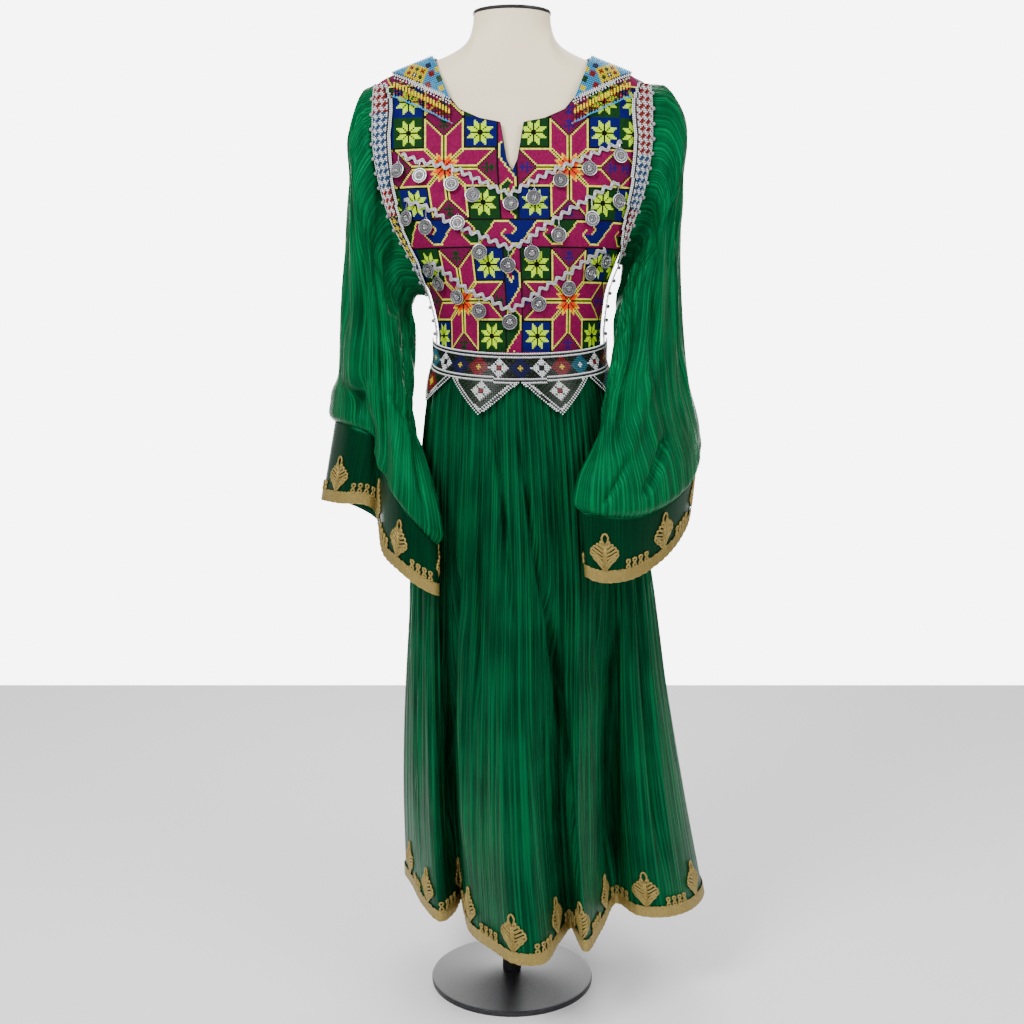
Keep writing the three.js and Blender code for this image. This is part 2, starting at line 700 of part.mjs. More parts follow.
// The hem seen from above, fold by fold, from the left side round the front to the right side and back
const hemFolds = [
  { x: -176, y: 60, z: 155, seam: 'left' },
  { x: -160, y: 0, z: 158 },
  { x: -138, y: -68, z: 154 },
  { x: -111, y: -112, z: 148 },
  { x: -92, y: -92, z: 152 },
  { x: -80, y: -52, z: 158 },
  { x: -72, y: -100, z: 155 },
  { x: -60, y: -156, z: 149 },
  { x: -26, y: -202, z: 144 },
  { x: 6, y: -234, z: 139 },
  { x: 46, y: -232, z: 139 },
  { x: 68, y: -176, z: 143 },
  { x: 91, y: -136, z: 148 },
  { x: 109, y: -194, z: 138 },
  { x: 134, y: -132, z: 143 },
  { x: 162, y: -68, z: 157 },
  { x: 196, y: -98, z: 151 },
  { x: 242, y: -98, z: 149 },
  { x: 284, y: -62, z: 147 },
  { x: 309, y: 0, z: 146, seam: 'right' },
  { x: 298, y: 58, z: 149 },
  { x: 262, y: 84, z: 152 },
  { x: 244, y: 140, z: 147 },
  { x: 206, y: 184, z: 145 },
  { x: 176, y: 128, z: 151 },
  { x: 146, y: 152, z: 148 },
  { x: 116, y: 216, z: 143 },
  { x: 76, y: 226, z: 143 },
  { x: 56, y: 152, z: 150 },
  { x: 24, y: 148, z: 150 },
  { x: 0, y: 212, z: 144 },
  { x: -40, y: 232, z: 143 },
  { x: -68, y: 170, z: 149 },
  { x: -92, y: 136, z: 151 },
  { x: -118, y: 196, z: 146 },
  { x: -152, y: 168, z: 148 },
  { x: -164, y: 112, z: 152 },
];

const skirtColumns = skirtPleats * 4;
const hemCurve = new THREE.CatmullRomCurve3(
  hemFolds.map(({ x, y, z }) => new THREE.Vector3(x, y, z)),
  true,
  'catmullrom',
  0.5,
);
hemCurve.arcLengthDivisions = 2000;

// Share of the hem's length at which a side seam falls
function hemShareOf(name) {
  const lengths = hemCurve.getLengths();
  const control = hemFolds.findIndex((fold) => fold.seam === name);
  const last = lengths.length - 1;
  return lengths[Math.round((control / hemFolds.length) * last)] / lengths[last];
}
const rightSeam = hemShareOf('right');

// Turn 0 to 1 runs over the front from the left seam, and 1 to 2 over the back to it again
function skirtPoint(turn, t, lift = 0) {
  const wrapped = ((turn % 2) + 2) % 2;
  const share = wrapped < 1 ? wrapped * rightSeam : mix(rightSeam, 1, wrapped - 1);
  const angle = Math.PI * wrapped;
  const face = wrapped < 1 ? 'front' : 'back';
  const ring = (at) => {
    const value = (column) => along(skirtSections, 't', at, column);
    return new THREE.Vector3(
      value('shift') - value('halfWidth') * Math.cos(angle),
      -value(face) * Math.sin(angle),
      value('z'),
    );
  };
  const fold = hemCurve.getPointAt(share % 1).sub(ring(1));
  const point = ring(t).addScaledVector(fold, along(skirtSections, 't', t, 'folds'));
  point.z += lift;
  return point;
}

function skirtNormal(turn, t) {
  const probe = 0.022;
  const across = skirtPoint(turn + probe, t).sub(skirtPoint(turn - probe, t));
  return new THREE.Vector3(across.y, -across.x, 0).normalize();
}

const skirtRows = skirtSections.map((section) => section.t);

function skirtGrid(first, rowsAt, raise) {
  const half = skirtColumns / 2;
  return rowsAt.map((t) =>
    Array.from({ length: half + 1 }, (_, i) => {
      const trim = seamGap / 380;
      const turn = first + (i === 0 ? trim : i === half ? 1 - trim : i / half);
      const gather = along(skirtSections, 't', t, 'gather') * (i % 2 ? 1 : -1);
      return skirtPoint(turn, t).addScaledVector(skirtNormal(turn, t), gather + raise);
    }),
  );
}

const pleatWall = 2;
const skirtPanel = (first) =>
  wallBetween(skirtGrid(first, skirtRows, 0), skirtGrid(first, skirtRows, -pleatWall));

// Gold braid: a border with a palmette standing on it at every few columns
const palmetteShape = [0, 0, 0.55, 0.9, 1, 0.9, 0.55];

function palmetteRise(column) {
  const place = column % palmetteEvery;
  return (palmetteShape[place - 1] ?? 0) * (palmetteHeight - braidHeight);
}

function hemBraid(first) {
  const [last, above] = [1, 0.8];
  const span = skirtSections[5].z - skirtSections[6].z;
  const layer = (raise) => {
    const [high, low] = skirtGrid(first, [above, last], 0).map((row) => offsetPlan(row, raise, false));
    const point = (i, up) => low[i].clone().lerp(high[i], up / span);
    return [
      low.map((_, i) => point(i, braidHeight + Math.max(0.8, palmetteRise(i)))),
      low.map((_, i) => point(i, -1)),
    ];
  };
  return wallBetween(layer(trimGap.skirtBraid + trimWall), layer(trimGap.skirtBraid));
}

// Sleeves: outer and inner points of each section, its fullness to front and back, and its bow;
// then the rings of the cuff's seam and hem
const sleeves = {
  left: {
    hand: -1,
    sections: [
      { outX: -214, outY: 0, outZ: 1403, inX: -139, inY: 0, inZ: 1101, front: 50, back: 50, bow: 20 },
      { outX: -232, outY: 0, outZ: 1362, inX: -150, inY: 0, inZ: 1090, front: 63, back: 61, bow: 22 },
      { outX: -244, outY: 0, outZ: 1258, inX: -149, inY: -6, inZ: 1052, front: 71, back: 68, bow: 12 },
      { outX: -255, outY: 2, outZ: 1120, inX: -146, inY: -24, inZ: 992, front: 70, back: 62, bow: 2 },
      { outX: -266, outY: 4, outZ: 985, inX: -136, inY: -72, inZ: 895, front: 62, back: 46, bow: 0 },
    ],
    join: [
      { x: -274, y: 8, z: 906 }, { x: -250, y: -36, z: 904 },
      { x: -214, y: -50, z: 892 }, { x: -200, y: -46, z: 872 },
      { x: -193, y: -86, z: 842 }, { x: -166, y: -130, z: 800 },
      { x: -136, y: -144, z: 764 }, { x: -109, y: -130, z: 734 },
      { x: -118, y: -104, z: 746 }, { x: -142, y: -66, z: 772 },
      { x: -162, y: -20, z: 802 }, { x: -178, y: 36, z: 832 },
      { x: -214, y: 58, z: 866 }, { x: -256, y: 44, z: 896 },
    ],
    hem: [
      { x: -296, y: 10, z: 786 }, { x: -262, y: -42, z: 787 },
      { x: -220, y: -56, z: 786 }, { x: -204, y: -50, z: 764 },
      { x: -192, y: -94, z: 720 }, { x: -164, y: -138, z: 700 },
      { x: -136, y: -152, z: 680 }, { x: -109, y: -142, z: 664 },
      { x: -119, y: -114, z: 672 }, { x: -148, y: -76, z: 686 },
      { x: -172, y: -26, z: 700 }, { x: -188, y: 36, z: 722 },
      { x: -228, y: 62, z: 756 }, { x: -276, y: 48, z: 780 },
    ],
  },
  right: {
    hand: 1,
    sections: [
      { outX: 222, outY: 0, outZ: 1407, inX: 168, inY: 0, inZ: 1147, front: 50, back: 50, bow: 20 },
      { outX: 249, outY: 0, outZ: 1372, inX: 168, inY: 0, inZ: 1126, front: 63, back: 61, bow: 18 },
      { outX: 253, outY: 0, outZ: 1262, inX: 158, inY: -16, inZ: 1082, front: 71, back: 66, bow: 8 },
      { outX: 258, outY: 0, outZ: 1110, inX: 148, inY: -58, inZ: 1006, front: 66, back: 54, bow: 0 },
      { outX: 271, outY: 0, outZ: 970, inX: 126, inY: -110, inZ: 900, front: 60, back: 28, bow: 0 },
    ],
    join: [
      { x: 281, y: 4, z: 866 }, { x: 272, y: -52, z: 826 },
      { x: 236, y: -108, z: 796 }, { x: 186, y: -148, z: 780 },
      { x: 134, y: -168, z: 783 }, { x: 98, y: -160, z: 789 },
      { x: 108, y: -136, z: 790 }, { x: 148, y: -114, z: 794 },
      { x: 182, y: -82, z: 800 }, { x: 206, y: -34, z: 808 },
      { x: 214, y: 16, z: 818 }, { x: 256, y: 42, z: 846 },
    ],
    hem: [
      { x: 276, y: 4, z: 796 }, { x: 266, y: -50, z: 756 },
      { x: 230, y: -106, z: 718 }, { x: 180, y: -146, z: 692 },
      { x: 134, y: -167, z: 688 }, { x: 108, y: -160, z: 696 },
      { x: 116, y: -138, z: 700 }, { x: 152, y: -122, z: 700 },
      { x: 190, y: -90, z: 706 }, { x: 216, y: -42, z: 716 },
      { x: 224, y: 14, z: 730 }, { x: 258, y: 42, z: 766 },
    ],
  },
};
const sleeveColumns = sleevePleats * 2;
const armholeGap = 2.1;

// The armhole edge as a ring: from the shoulder down the front to the underarm, and up the back
function armholeRing(hand, raise) {
  const bottom = armholeBottom[sideName(hand)];
  const top = shoulderLine[6].z;
  return Array.from({ length: sleeveColumns }, (_, i) => {
    const angle = (2 * Math.PI * i) / sleeveColumns;
    const face = angle <= Math.PI ? -1 : 1;
    const z = mix(bottom, top, (1 + Math.cos(angle)) / 2);
    const isEnd = i % (sleeveColumns / 2) === 0;
    const point = onTorso(edgeX(z, hand), z, face, raise, isEnd);
    point.x += hand * armholeGap;
    if (isEnd) point.y = 0;
    if (i === 0) point.z += seamGap;
    return point;
  });
}

function sleeveRing(section, hand, gather) {
  return Array.from({ length: sleeveColumns }, (_, i) => {
    const angle = (2 * Math.PI * i) / sleeveColumns;
    const [c, s] = [Math.cos(angle), Math.sin(angle)];
    const depth = s > 0 ? section.front : section.back;
    const fullness = 1 + (gather * (i % 2 ? 1 : -1)) / 80;
    const bow = hand * section.bow * Math.abs(s);
    return new THREE.Vector3(
      (section.outX + section.inX) / 2 + ((section.outX - section.inX) / 2) * c * fullness + bow,
      mix(section.inY, section.outY, (1 + c) / 2) - depth * s * fullness,
      (section.outZ + section.inZ) / 2 + ((section.outZ - section.inZ) / 2) * c,
    );
  });
}

function tableRing(rows, columns = sleeveColumns) {
  const curve = new THREE.CatmullRomCurve3(
    rows.map(({ x, y, z }) => new THREE.Vector3(x, y, z)),
    true,
    'catmullrom',
    0.5,
  );
  return Array.from({ length: columns }, (_, i) => curve.getPointAt(i / columns));
}

const ringMiddle = (ring) =>
  ring.reduce((sum, p) => sum.add(p), new THREE.Vector3()).divideScalar(ring.length);

// A ring swollen outwards, with its gathers in and out, and lifted
function puffRing(ring, grow, gather, lift) {
  const swollen = offsetPlan(ring, grow * planSense(ring), true);
  const lifted = swollen.map((p) => p.setZ(p.z + lift));
  if (!gather) return lifted;
  const middle = ringMiddle(ring);
  return lifted.map((p, i) => p.lerp(middle.setZ(p.z), ((i % 2 ? -1 : 1) * gather) / 60));
}

// Which way round a ring runs, so that a positive offset is outwards
function planSense(ring) {
  const area = ring.reduce((sum, p, i) => {
    const next = ring[(i + 1) % ring.length];
    return sum + p.x * next.y - next.x * p.y;
  }, 0);
  return Math.sign(area);
}

function sleeveGeometry({ hand, sections, join }) {
  const joinRing = tableRing(join);
  const gathers = [2, 2.6, 3, 2.8, 2.4];
  const outer = [
    armholeRing(hand, bodiceEase + clothWall),
    ...sections.map((section, i) => sleeveRing(section, hand, gathers[i])),
    puffRing(joinRing, 6, 2, 34),
    puffRing(joinRing, 7, 1.4, 9),
    puffRing(joinRing, 0, 0, 1.1),
  ];
  const normals = ringNormals(outer);
  const probe = new THREE.Vector3().subVectors(outer[4][10], ringMiddle(outer[4]));
  const inward = normals[4][10].dot(probe) > 0 ? -clothWall : clothWall;
  const inner = moveGrid(outer, normals, inward);
  inner[0] = armholeRing(hand, bodiceEase);
  return wallBetween(outer, inner, true);
}

const cuffRings = ({ join, hem }) => [tableRing(join), tableRing(hem)];

const offsetRings = (rings, distance) =>
  rings.map((ring) => offsetPlan(ring, distance * planSense(ring), true));

function cuffGeometry(sleeve) {
  const outer = cuffRings(sleeve);
  return wallBetween(outer, offsetRings(outer, -clothWall), true);
}

function cuffBraid(sleeve) {
  const layer = (raise) => {
    const [high, low] = offsetRings(cuffRings(sleeve), raise);
    const point = (i, up) => low[i].clone().addScaledVector(high[i].clone().sub(low[i]).normalize(), up);
    return [
      low.map((_, i) => point(i, braidHeight + Math.max(0.8, palmetteRise(i + 5) * 0.95))),
      low.map((_, i) => point(i, -1)),
    ];
  };
  return wallBetween(layer(trimGap.cuffBraid + trimWall), layer(trimGap.cuffBraid), true);
}

buildForm();
addPiece('bodice_front', frontPanel.geometry, materials.embroidery);
addPiece('bodice_back', bodicePanel(backTopEdge, 1), materials.silk);
for (const hand of [-1, 1]) {
  const side = sideName(hand);
  addPiece(`yoke_${side}`, trimOnFront(yokePlaces(hand), trimGap.yoke), materials.yokeBeads);
  addPiece(`yoke_fringe_${side}`, fringeGeometry(hand), materials.fringeBeads);
  addPiece(`armhole_band_${side}`, trimOnFront(bandPlaces(hand), bandGap(hand)), materials.bandBeads);
  addPiece(`sleeve_${side}`, sleeveGeometry(sleeves[side]), materials.silk);
  addPiece(`cuff_${side}`, cuffGeometry(sleeves[side]), materials.cuff);
  addPiece(`cuff_braid_${side}`, cuffBraid(sleeves[side]), materials.gold);
}
for (const swag of swags) {
  addPiece(`ric_rac_${swag.name}`, trimOnFront(ricRacPlaces(swag.line), trimGap.ricRac), materials.silver);
  swag.coins.forEach((place, i) => {
    placeCoin(`coin_${swag.name}_${i + 1}`, place, swag.line, Math.sign(place.x));
  });
}
addPiece('belt', beltGeometry(), materials.beltBeads);
addPiece('skirt_front', skirtPanel(0), materials.silk);
addPiece('skirt_back', skirtPanel(1), materials.silk);
addPiece('hem_braid_front', hemBraid(0), materials.gold);
addPiece('hem_braid_back', hemBraid(1), materials.gold);

export default dress;
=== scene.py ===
import math

import bpy
import numpy as np
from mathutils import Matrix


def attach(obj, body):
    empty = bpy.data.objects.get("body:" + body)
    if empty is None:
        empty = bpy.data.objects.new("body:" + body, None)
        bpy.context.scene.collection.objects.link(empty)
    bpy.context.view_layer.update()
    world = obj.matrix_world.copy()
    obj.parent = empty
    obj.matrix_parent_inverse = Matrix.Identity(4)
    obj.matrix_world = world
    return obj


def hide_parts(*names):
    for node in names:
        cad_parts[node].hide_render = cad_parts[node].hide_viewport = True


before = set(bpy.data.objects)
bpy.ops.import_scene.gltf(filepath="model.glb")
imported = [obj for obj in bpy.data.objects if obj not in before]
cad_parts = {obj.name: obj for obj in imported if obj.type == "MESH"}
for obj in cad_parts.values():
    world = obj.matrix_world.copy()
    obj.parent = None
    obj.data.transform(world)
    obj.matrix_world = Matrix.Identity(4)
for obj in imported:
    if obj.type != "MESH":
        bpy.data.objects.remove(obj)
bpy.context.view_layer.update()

# Camera: in front of the dress at chest height, tilted a little down
camera = {"distance": 2.1, "height": 1.062, "tiltDown": 8.0, "lens": 47.95}


def deselectAll():
    for item in list(bpy.context.selected_objects):
        item.select_set(False)
    bpy.context.view_layer.objects.active = None


def placeCamera():
    deselectAll()
    place = (0, -camera["distance"], camera["height"])
    bpy.ops.object.camera_add(location=place, rotation=(math.radians(90 - camera["tiltDown"]), 0, 0))
    made = bpy.context.object
    made.data.lens = camera["lens"]
    bpy.context.scene.camera = made


placeCamera()
print("camera placed")


# Smooth value of a column of a table, with no overshoot; the table rises by its first column
def along(table, by, at, column):
    x = np.array(table[by], float)
    y = np.array(table[column], float)
    at = np.clip(np.asarray(at, float), x[0], x[-1])
    step = np.diff(x)
    rise = np.diff(y) / step
    product = rise[:-1] * rise[1:]
    total = np.where(product > 0, rise[:-1] + rise[1:], 1)
    slope = np.concatenate([rise[:1], np.where(product > 0, 2 * product / total, 0), rise[-1:]])
    i = np.clip(np.searchsorted(x, at, side="right") - 1, 0, len(x) - 2)
    t = (at - x[i]) / step[i]
    held = (2 * t**3 - 3 * t**2 + 1) * y[i] + (3 * t**2 - 2 * t**3) * y[i + 1]
    turned = (t**3 - 2 * t**2 + t) * slope[i] + (t**3 - t**2) * slope[i + 1]
    return held + step[i] * turned


def mix(a, b, t):
    return a + (b - a) * t


def ease(t):
    t = np.clip(t, 0, 1)
    return t * t * (3 - 2 * t)


def unit(v):
    return v / np.maximum(np.linalg.norm(v, axis=-1, keepdims=True), 1e-12)


# Soft unevenness: a smooth seeded value from -1 to 1 over two cloth coordinates
def unevenness(u, v, seed):
    size = 97
    values = np.random.default_rng(seed).uniform(-1, 1, (size, size))
    u, v = np.broadcast_arrays(np.asarray(u, float), np.asarray(v, float))
    i, j = np.floor(u).astype(int), np.floor(v).astype(int)
    s, t = ease(u - i), ease(v - j)
    corner = lambda a, b: values[(i + a) % size, (j + b) % size]
    return mix(mix(corner(0, 0), corner(1, 0), s), mix(corner(0, 1), corner(1, 1), s), t)


# Corners of the faces of a grid of points; a round grid's last column meets its first
def gridFaces(rows, columns, isRound=False):
    r, c = np.meshgrid(np.arange(rows - 1), np.arange(columns if isRound else columns - 1), indexing="ij")
    r, c = r.ravel(), c.ravel()
    after = (c + 1) % columns
    return np.stack([r * columns + c, r * columns + after, (r + 1) * columns + after, (r + 1) * columns + c], 1)


def newMesh(name, points, faces):
    mesh = bpy.data.meshes.new(name)
    mesh.from_pydata(np.asarray(points).reshape(-1, 3).tolist(), [], faces)
    mesh.update()
    return mesh


def layCloth(mesh, uv):
    layer = mesh.uv_layers.new(name="cloth")
    layer.data.foreach_set("uv", uv.astype(np.float32).ravel())


def gridMesh(name, points, isRound=False, uv=None):
    rows, columns = points.shape[:2]
    mesh = newMesh(name, points, gridFaces(rows, columns, isRound).tolist())
    if uv is not None:
        layCloth(mesh, uv.reshape(-1, 2)[gridFaces(rows, uv.shape[1]).ravel()])
    return mesh


def addPiece(name, mesh, material, slotName, *nodes):
    piece = bpy.data.objects.new(name, mesh)
    bpy.context.scene.collection.objects.link(piece)
    mesh.materials.clear()
    mesh.materials.append(material)
    mesh.polygons.foreach_set("use_smooth", np.ones(len(mesh.polygons), bool))
    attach(piece, "root")
    if nodes:
        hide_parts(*nodes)
    return piece


def applyModifier(piece, kind, **settings):
    deselectAll()
    modifier = piece.modifiers.new(kind.lower(), kind)
    for key, value in settings.items():
        setattr(modifier, key, value)
    bpy.context.view_layer.objects.active = piece
    piece.select_set(True)
    bpy.ops.object.modifier_apply(modifier=modifier.name)
    deselectAll()


# Surface directions of a grid of points, outwards where its rows run as the caller's do
def gridNormals(points, isRound=False):
    if isRound:
        across = np.roll(points, -1, 1) - np.roll(points, 1, 1)
    else:
        across = np.gradient(points, axis=1)
    return unit(np.cross(across, np.gradient(points, axis=0)))


# Cloth coordinates in metres: round the cloth and down it
def clothCoordinates(points, isRound=False):
    closed = np.concatenate([points, points[:, :1]], 1) if isRound else points
    wide = np.linalg.norm(np.diff(closed, axis=1), axis=2).sum(1).mean()
    down = np.linalg.norm(np.diff(closed, axis=0), axis=2).mean(1)
    u = np.linspace(0, wide, closed.shape[1])
    v = np.concatenate([[0], np.cumsum(down)])
    return np.stack(np.broadcast_arrays(u[None, :], v[:, None]), 2)


# Creases given one by one: each a soft trough (depth below 0) or ridge between two places on the cloth
def laidCreases(u, v, creases):
    height = np.zeros(np.broadcast(u, v).shape)
    for crease in creases:
        fromU, fromV, toU, toV, width, depth, bow = crease
        t = (v - fromV) / (toV - fromV)
        line = mix(fromU, toU, t) + bow * 4 * t * (1 - t)
        taper = ease(t * 5) * ease((1 - t) * 4)
        height += depth * np.exp(-(((u - line) / width) ** 2)) * taper
    return height


# Materials
def newMaterial(name, **values):
    material = bpy.data.materials.new(name)
    material.use_nodes = True
    shader = material.node_tree.nodes["Principled BSDF"]
    for key, value in values.items():
        shader.inputs[key.replace("_", " ")].default_value = value
    return material, material.node_tree, shader


# A node fed by the outputs in wires and the constants in values; it gives one of its outputs
def addNode(tree, kind, wires=None, values=None, pick=0, **settings):
    node = tree.nodes.new("ShaderNode" + kind)
    for key, value in settings.items():
        setattr(node, key, value)
    for key, value in (values or {}).items():
        node.inputs[key].default_value = value
    for key, source in (wires or {}).items():
        tree.links.new(source, node.inputs[key])
    return node.outputs[pick]


def addRamp(tree, source, stops):
    ramp = tree.nodes.new("ShaderNodeValToRGB")
    for element, (place, colour) in zip(ramp.color_ramp.elements, stops):
        element.position = place
        element.color = (*colour, 1)
    tree.links.new(source, ramp.inputs["Fac"])
    return ramp.outputs["Color"]


def feed(tree, shader, **sources):
    for key, source in sources.items():
        tree.links.new(source, shader.inputs[key.replace("_", " ")])


satin = {
    "silk": {"dark": (0, 0.040, 0.012), "light": (0, 0.128, 0.039), "rough": 0.40, "specular": 0.22},
    # shade: the same silk made darker for the skirt, painted shade for the light falling off down the dress
    "shade": {"dark": (0, 0.020, 0.007), "light": (0, 0.082, 0.026), "rough": 0.42, "specular": 0.28},
    "cuff": {"dark": (0, 0.011, 0.004), "light": (0, 0.024, 0.007), "rough": 0.36, "specular": 0.25},
    "glow": (0.03, 0.80, 0.36, 1.0),
    "acrossScale": 190.0, "downScale": 2.4, "valleyWidth": 0.15, "patchScale": 14.0,
    "crinkleBump": 0.85, "crinkleDepth": 0.001, "threadScale": 2600.0,
}


# Crinkled satin: fine lengthwise crinkles and threads in the bump; the colour is darker in the crinkles' valleys, which
# is painted shade, and a little uneven in wide patches
def satinMaterial(name, look, crinkle):
    material, tree, shader = newMaterial(name, Specular_IOR_Level=look["specular"], Specular_Tint=satin["glow"])
    cloth = addNode(tree, "UVMap", uv_map="cloth")
    long = addNode(tree, "Mapping", {"Vector": cloth}, {"Scale": (satin["acrossScale"], satin["downScale"], 1)})
    fine = addNode(tree, "TexNoise", {"Vector": long}, {"Scale": 1.0, "Detail": 2.0, "Roughness": 0.5})
    middle = addNode(tree, "Math", {0: fine}, {1: 0.5}, operation="SUBTRACT")
    away = addNode(tree, "Math", {0: middle}, operation="ABSOLUTE")
    ridge = addNode(tree, "MapRange", {"Value": away}, {"From Max": satin["valleyWidth"]})
    wide = addNode(tree, "TexNoise", {"Vector": cloth}, {"Scale": satin["patchScale"], "Detail": 1.0})
    blend = addNode(tree, "Math", {0: ridge, 1: wide}, operation="ADD")
    half = addNode(tree, "Math", {0: blend}, {1: 0.5}, operation="MULTIPLY")
    gloss = addNode(tree, "MapRange", {"Value": fine}, {"To Min": look["rough"] - 0.07, "To Max": look["rough"] + 0.1})
    bump = addNode(tree, "Bump", {"Height": ridge}, {"Strength": crinkle, "Distance": satin["crinkleDepth"]})
    across, down = satin["threadScale"] * 0.3, satin["threadScale"]
    weave = addNode(tree, "Mapping", {"Vector": cloth}, {"Scale": (across, down, 1)})
    thread = addNode(tree, "TexNoise", {"Vector": weave}, {"Scale": 1.0, "Detail": 1.0})
    grain = addNode(tree, "Bump", {"Height": thread, "Normal": bump}, {"Strength": 0.12, "Distance": 0.0002})
    # Colour: painted shade along the crinkle valleys, mixed with wide uneven patches
    colour = addRamp(tree, half, [(0.25, look["dark"]), (0.68, look["light"])])
    feed(tree, shader, Base_Color=colour, Roughness=gloss, Normal=grain)
    return material


silk = satinMaterial("emerald crinkled satin", satin["silk"], satin["crinkleBump"])
# The skirt's silk is a darker copy of the sleeves' silk: painted shade, as the light falls off down the skirt
skirtSilkPaintedShade = satinMaterial("emerald crinkled satin with painted shade", satin["shade"], satin["crinkleBump"])
cuffSatin = satinMaterial("dark green plain satin", satin["cuff"], 0.12)


# Object coordinates with a fine grain, for the form's cloth, the stand's paint and metal
def grainMaterial(name, dark, light, scale, rough, depth, metal=0.0, specular=0.4):
    material, tree, shader = newMaterial(name, Metallic=metal, Specular_IOR_Level=specular)
    place = addNode(tree, "TexCoord", pick="Object")
    grain = addNode(tree, "TexNoise", {"Vector": place}, {"Scale": scale, "Detail": 4.0})
    gloss = addNode(tree, "MapRange", {"Value": grain}, {"To Min": rough - 0.06, "To Max": rough + 0.08})
    bump = addNode(tree, "Bump", {"Height": grain}, {"Strength": 0.25, "Distance": depth})
    feed(tree, shader, Base_Color=addRamp(tree, grain, [(0.3, dark), (0.7, light)]), Roughness=gloss, Normal=bump)
    return material


formCloth = grainMaterial("cream form cloth", (0.95, 0.79, 0.52), (0.98, 0.85, 0.60), 900.0, 0.55, 0.0002)
standPaint = grainMaterial("dark satin paint", (0.022, 0.022, 0.024), (0.04, 0.04, 0.044), 300.0, 0.38, 0.0001, 0.6)
darkCord = grainMaterial("dark binding cord", (0.006, 0.005, 0.008), (0.016, 0.012, 0.018), 900.0, 0.6, 0.0002)

# The torso under the dress: sections with half width, depths, squareness and sideways shift
torso = {
    "z": [0.780, 0.860, 0.930, 1.003, 1.035, 1.097, 1.139, 1.183, 1.213,
          1.260, 1.309, 1.360, 1.408, 1.444, 1.470, 1.490, 1.540],
    "halfWidth": [0.146, 0.144, 0.131, 0.121, 0.121, 0.129, 0.147, 0.168, 0.182,
                  0.197, 0.206, 0.210, 0.212, 0.150, 0.082, 0.061, 0.058],
    "front": [0.090, 0.094, 0.093, 0.090, 0.091, 0.101, 0.108, 0.112, 0.110,
              0.102, 0.091, 0.079, 0.067, 0.060, 0.056, 0.054, 0.053],
    "back": [0.104, 0.104, 0.096, 0.086, 0.085, 0.089, 0.094, 0.098, 0.099,
             0.098, 0.095, 0.090, 0.082, 0.072, 0.064, 0.058, 0.056],
    "power": [2.2, 2.2, 2.2, 2.2, 2.2, 2.3, 2.4, 2.6, 2.7, 2.9, 3.0, 3.0, 3.0, 2.6, 2.2, 2.0, 2.0],
    "shift": [0.013, 0.013, 0.013, 0.012, 0.012, 0.009, 0.004, 0.001, 0, 0, 0, 0, 0, 0, 0, 0, 0],
}
shoulder = {
    "x": [0, 0.055, 0.060, 0.068, 0.085, 0.113, 0.200, 0.216],
    "z": [1.900, 1.570, 1.494, 1.472, 1.458, 1.445, 1.408, 1.392],
    "radius": 0.050,
    "tip": 1.408,
}
garment = {
    "wall": 0.0015, "ease": 0.001, "waist": 1.003, "seam": 0.00045,
    "armholeLeft": 1.098, "armholeRight": 1.148, "armholeSetIn": 0.035, "armholeTurn": 0.060,
}
bodiceOuter = garment["ease"] + garment["wall"]


def torsoAt(z, column):
    return along(torso, "z", z, column)


def shoulderHeight(x):
    return along(shoulder, "x", np.abs(x), "z")


def armholeBottom(hand):
    return garment["armholeLeft"] if hand < 0 else garment["armholeRight"]


def torsoDepth(x, z, face):
    power = torsoAt(z, "power")
    across = np.minimum(1, np.abs(x - torsoAt(z, "shift")) / torsoAt(z, "halfWidth"))
    over = 1 - np.clip((shoulderHeight(x) - z) / shoulder["radius"], 0, 1)
    plan = np.maximum(0, 1 - across**power) ** (1 / power)
    return torsoAt(z, "front" if face < 0 else "back") * plan * np.sqrt(np.maximum(0, 1 - over * over))


def torsoLevel(x, y, z, face):
    power = torsoAt(z, "power")
    across = np.abs(x - torsoAt(z, "shift")) / torsoAt(z, "halfWidth")
    deep = np.abs(y) / torsoAt(z, "front" if face < 0 else "back")
    over = 1 - np.clip((shoulderHeight(x) - z) / shoulder["radius"], 0, 1)
    return deep**power - (1 - across**power) * np.maximum(0, 1 - over * over) ** (power / 2)


# Points over the torso at places seen from the front, raised off its surface;
# on a seam they rise in the seam's plane
def onTorso(x, z, face, lift, onSeam=False):
    x, z, onSeam = np.broadcast_arrays(np.asarray(x, float), np.asarray(z, float), onSeam)
    y = face * torsoDepth(x, z, face)
    probe = 0.0005
    near = np.where(np.abs(y) < 2 * probe, face * 2 * probe, y)
    slope = lambda dx, dy, dz: (torsoLevel(x + dx, near + dy, z + dz, face)
                                - torsoLevel(x - dx, near - dy, z - dz, face))
    normal = np.stack([slope(probe, 0, 0), slope(0, probe, 0), slope(0, 0, probe)], -1)
    normal[..., 1] = np.where(onSeam, 0, normal[..., 1])
    points = np.stack([x, y, z], -1) + unit(normal) * np.asarray(lift)[..., None]
    points[..., 1] = np.where(onSeam, face * garment["seam"], points[..., 1])
    return points


def edgeHalfWidth(z, hand):
    turn = ease((z - armholeBottom(hand)) / garment["armholeTurn"])
    height = np.minimum(z, shoulder["tip"])
    return np.minimum(0.2005, torsoAt(height, "halfWidth") * (1 - garment["armholeSetIn"] * turn))


def edgeX(z, hand):
    return torsoAt(z, "shift") + hand * edgeHalfWidth(z, hand)


# The dress form: a smooth torso with a short neck and a cap, on a pole and a round base
form = {
    "columns": 96, "bottom": 0.800, "neckTop": 1.508, "slackBody": 0.005, "slackShoulder": 0.002,
    "capGrow": 1.02, "poleRadius": 0.015, "baseRadius": 0.130, "baseThickness": 0.010,
    "baseSteps": [(0.004, 0), (0.086, 0.005), (0.016, 0.003)],
}


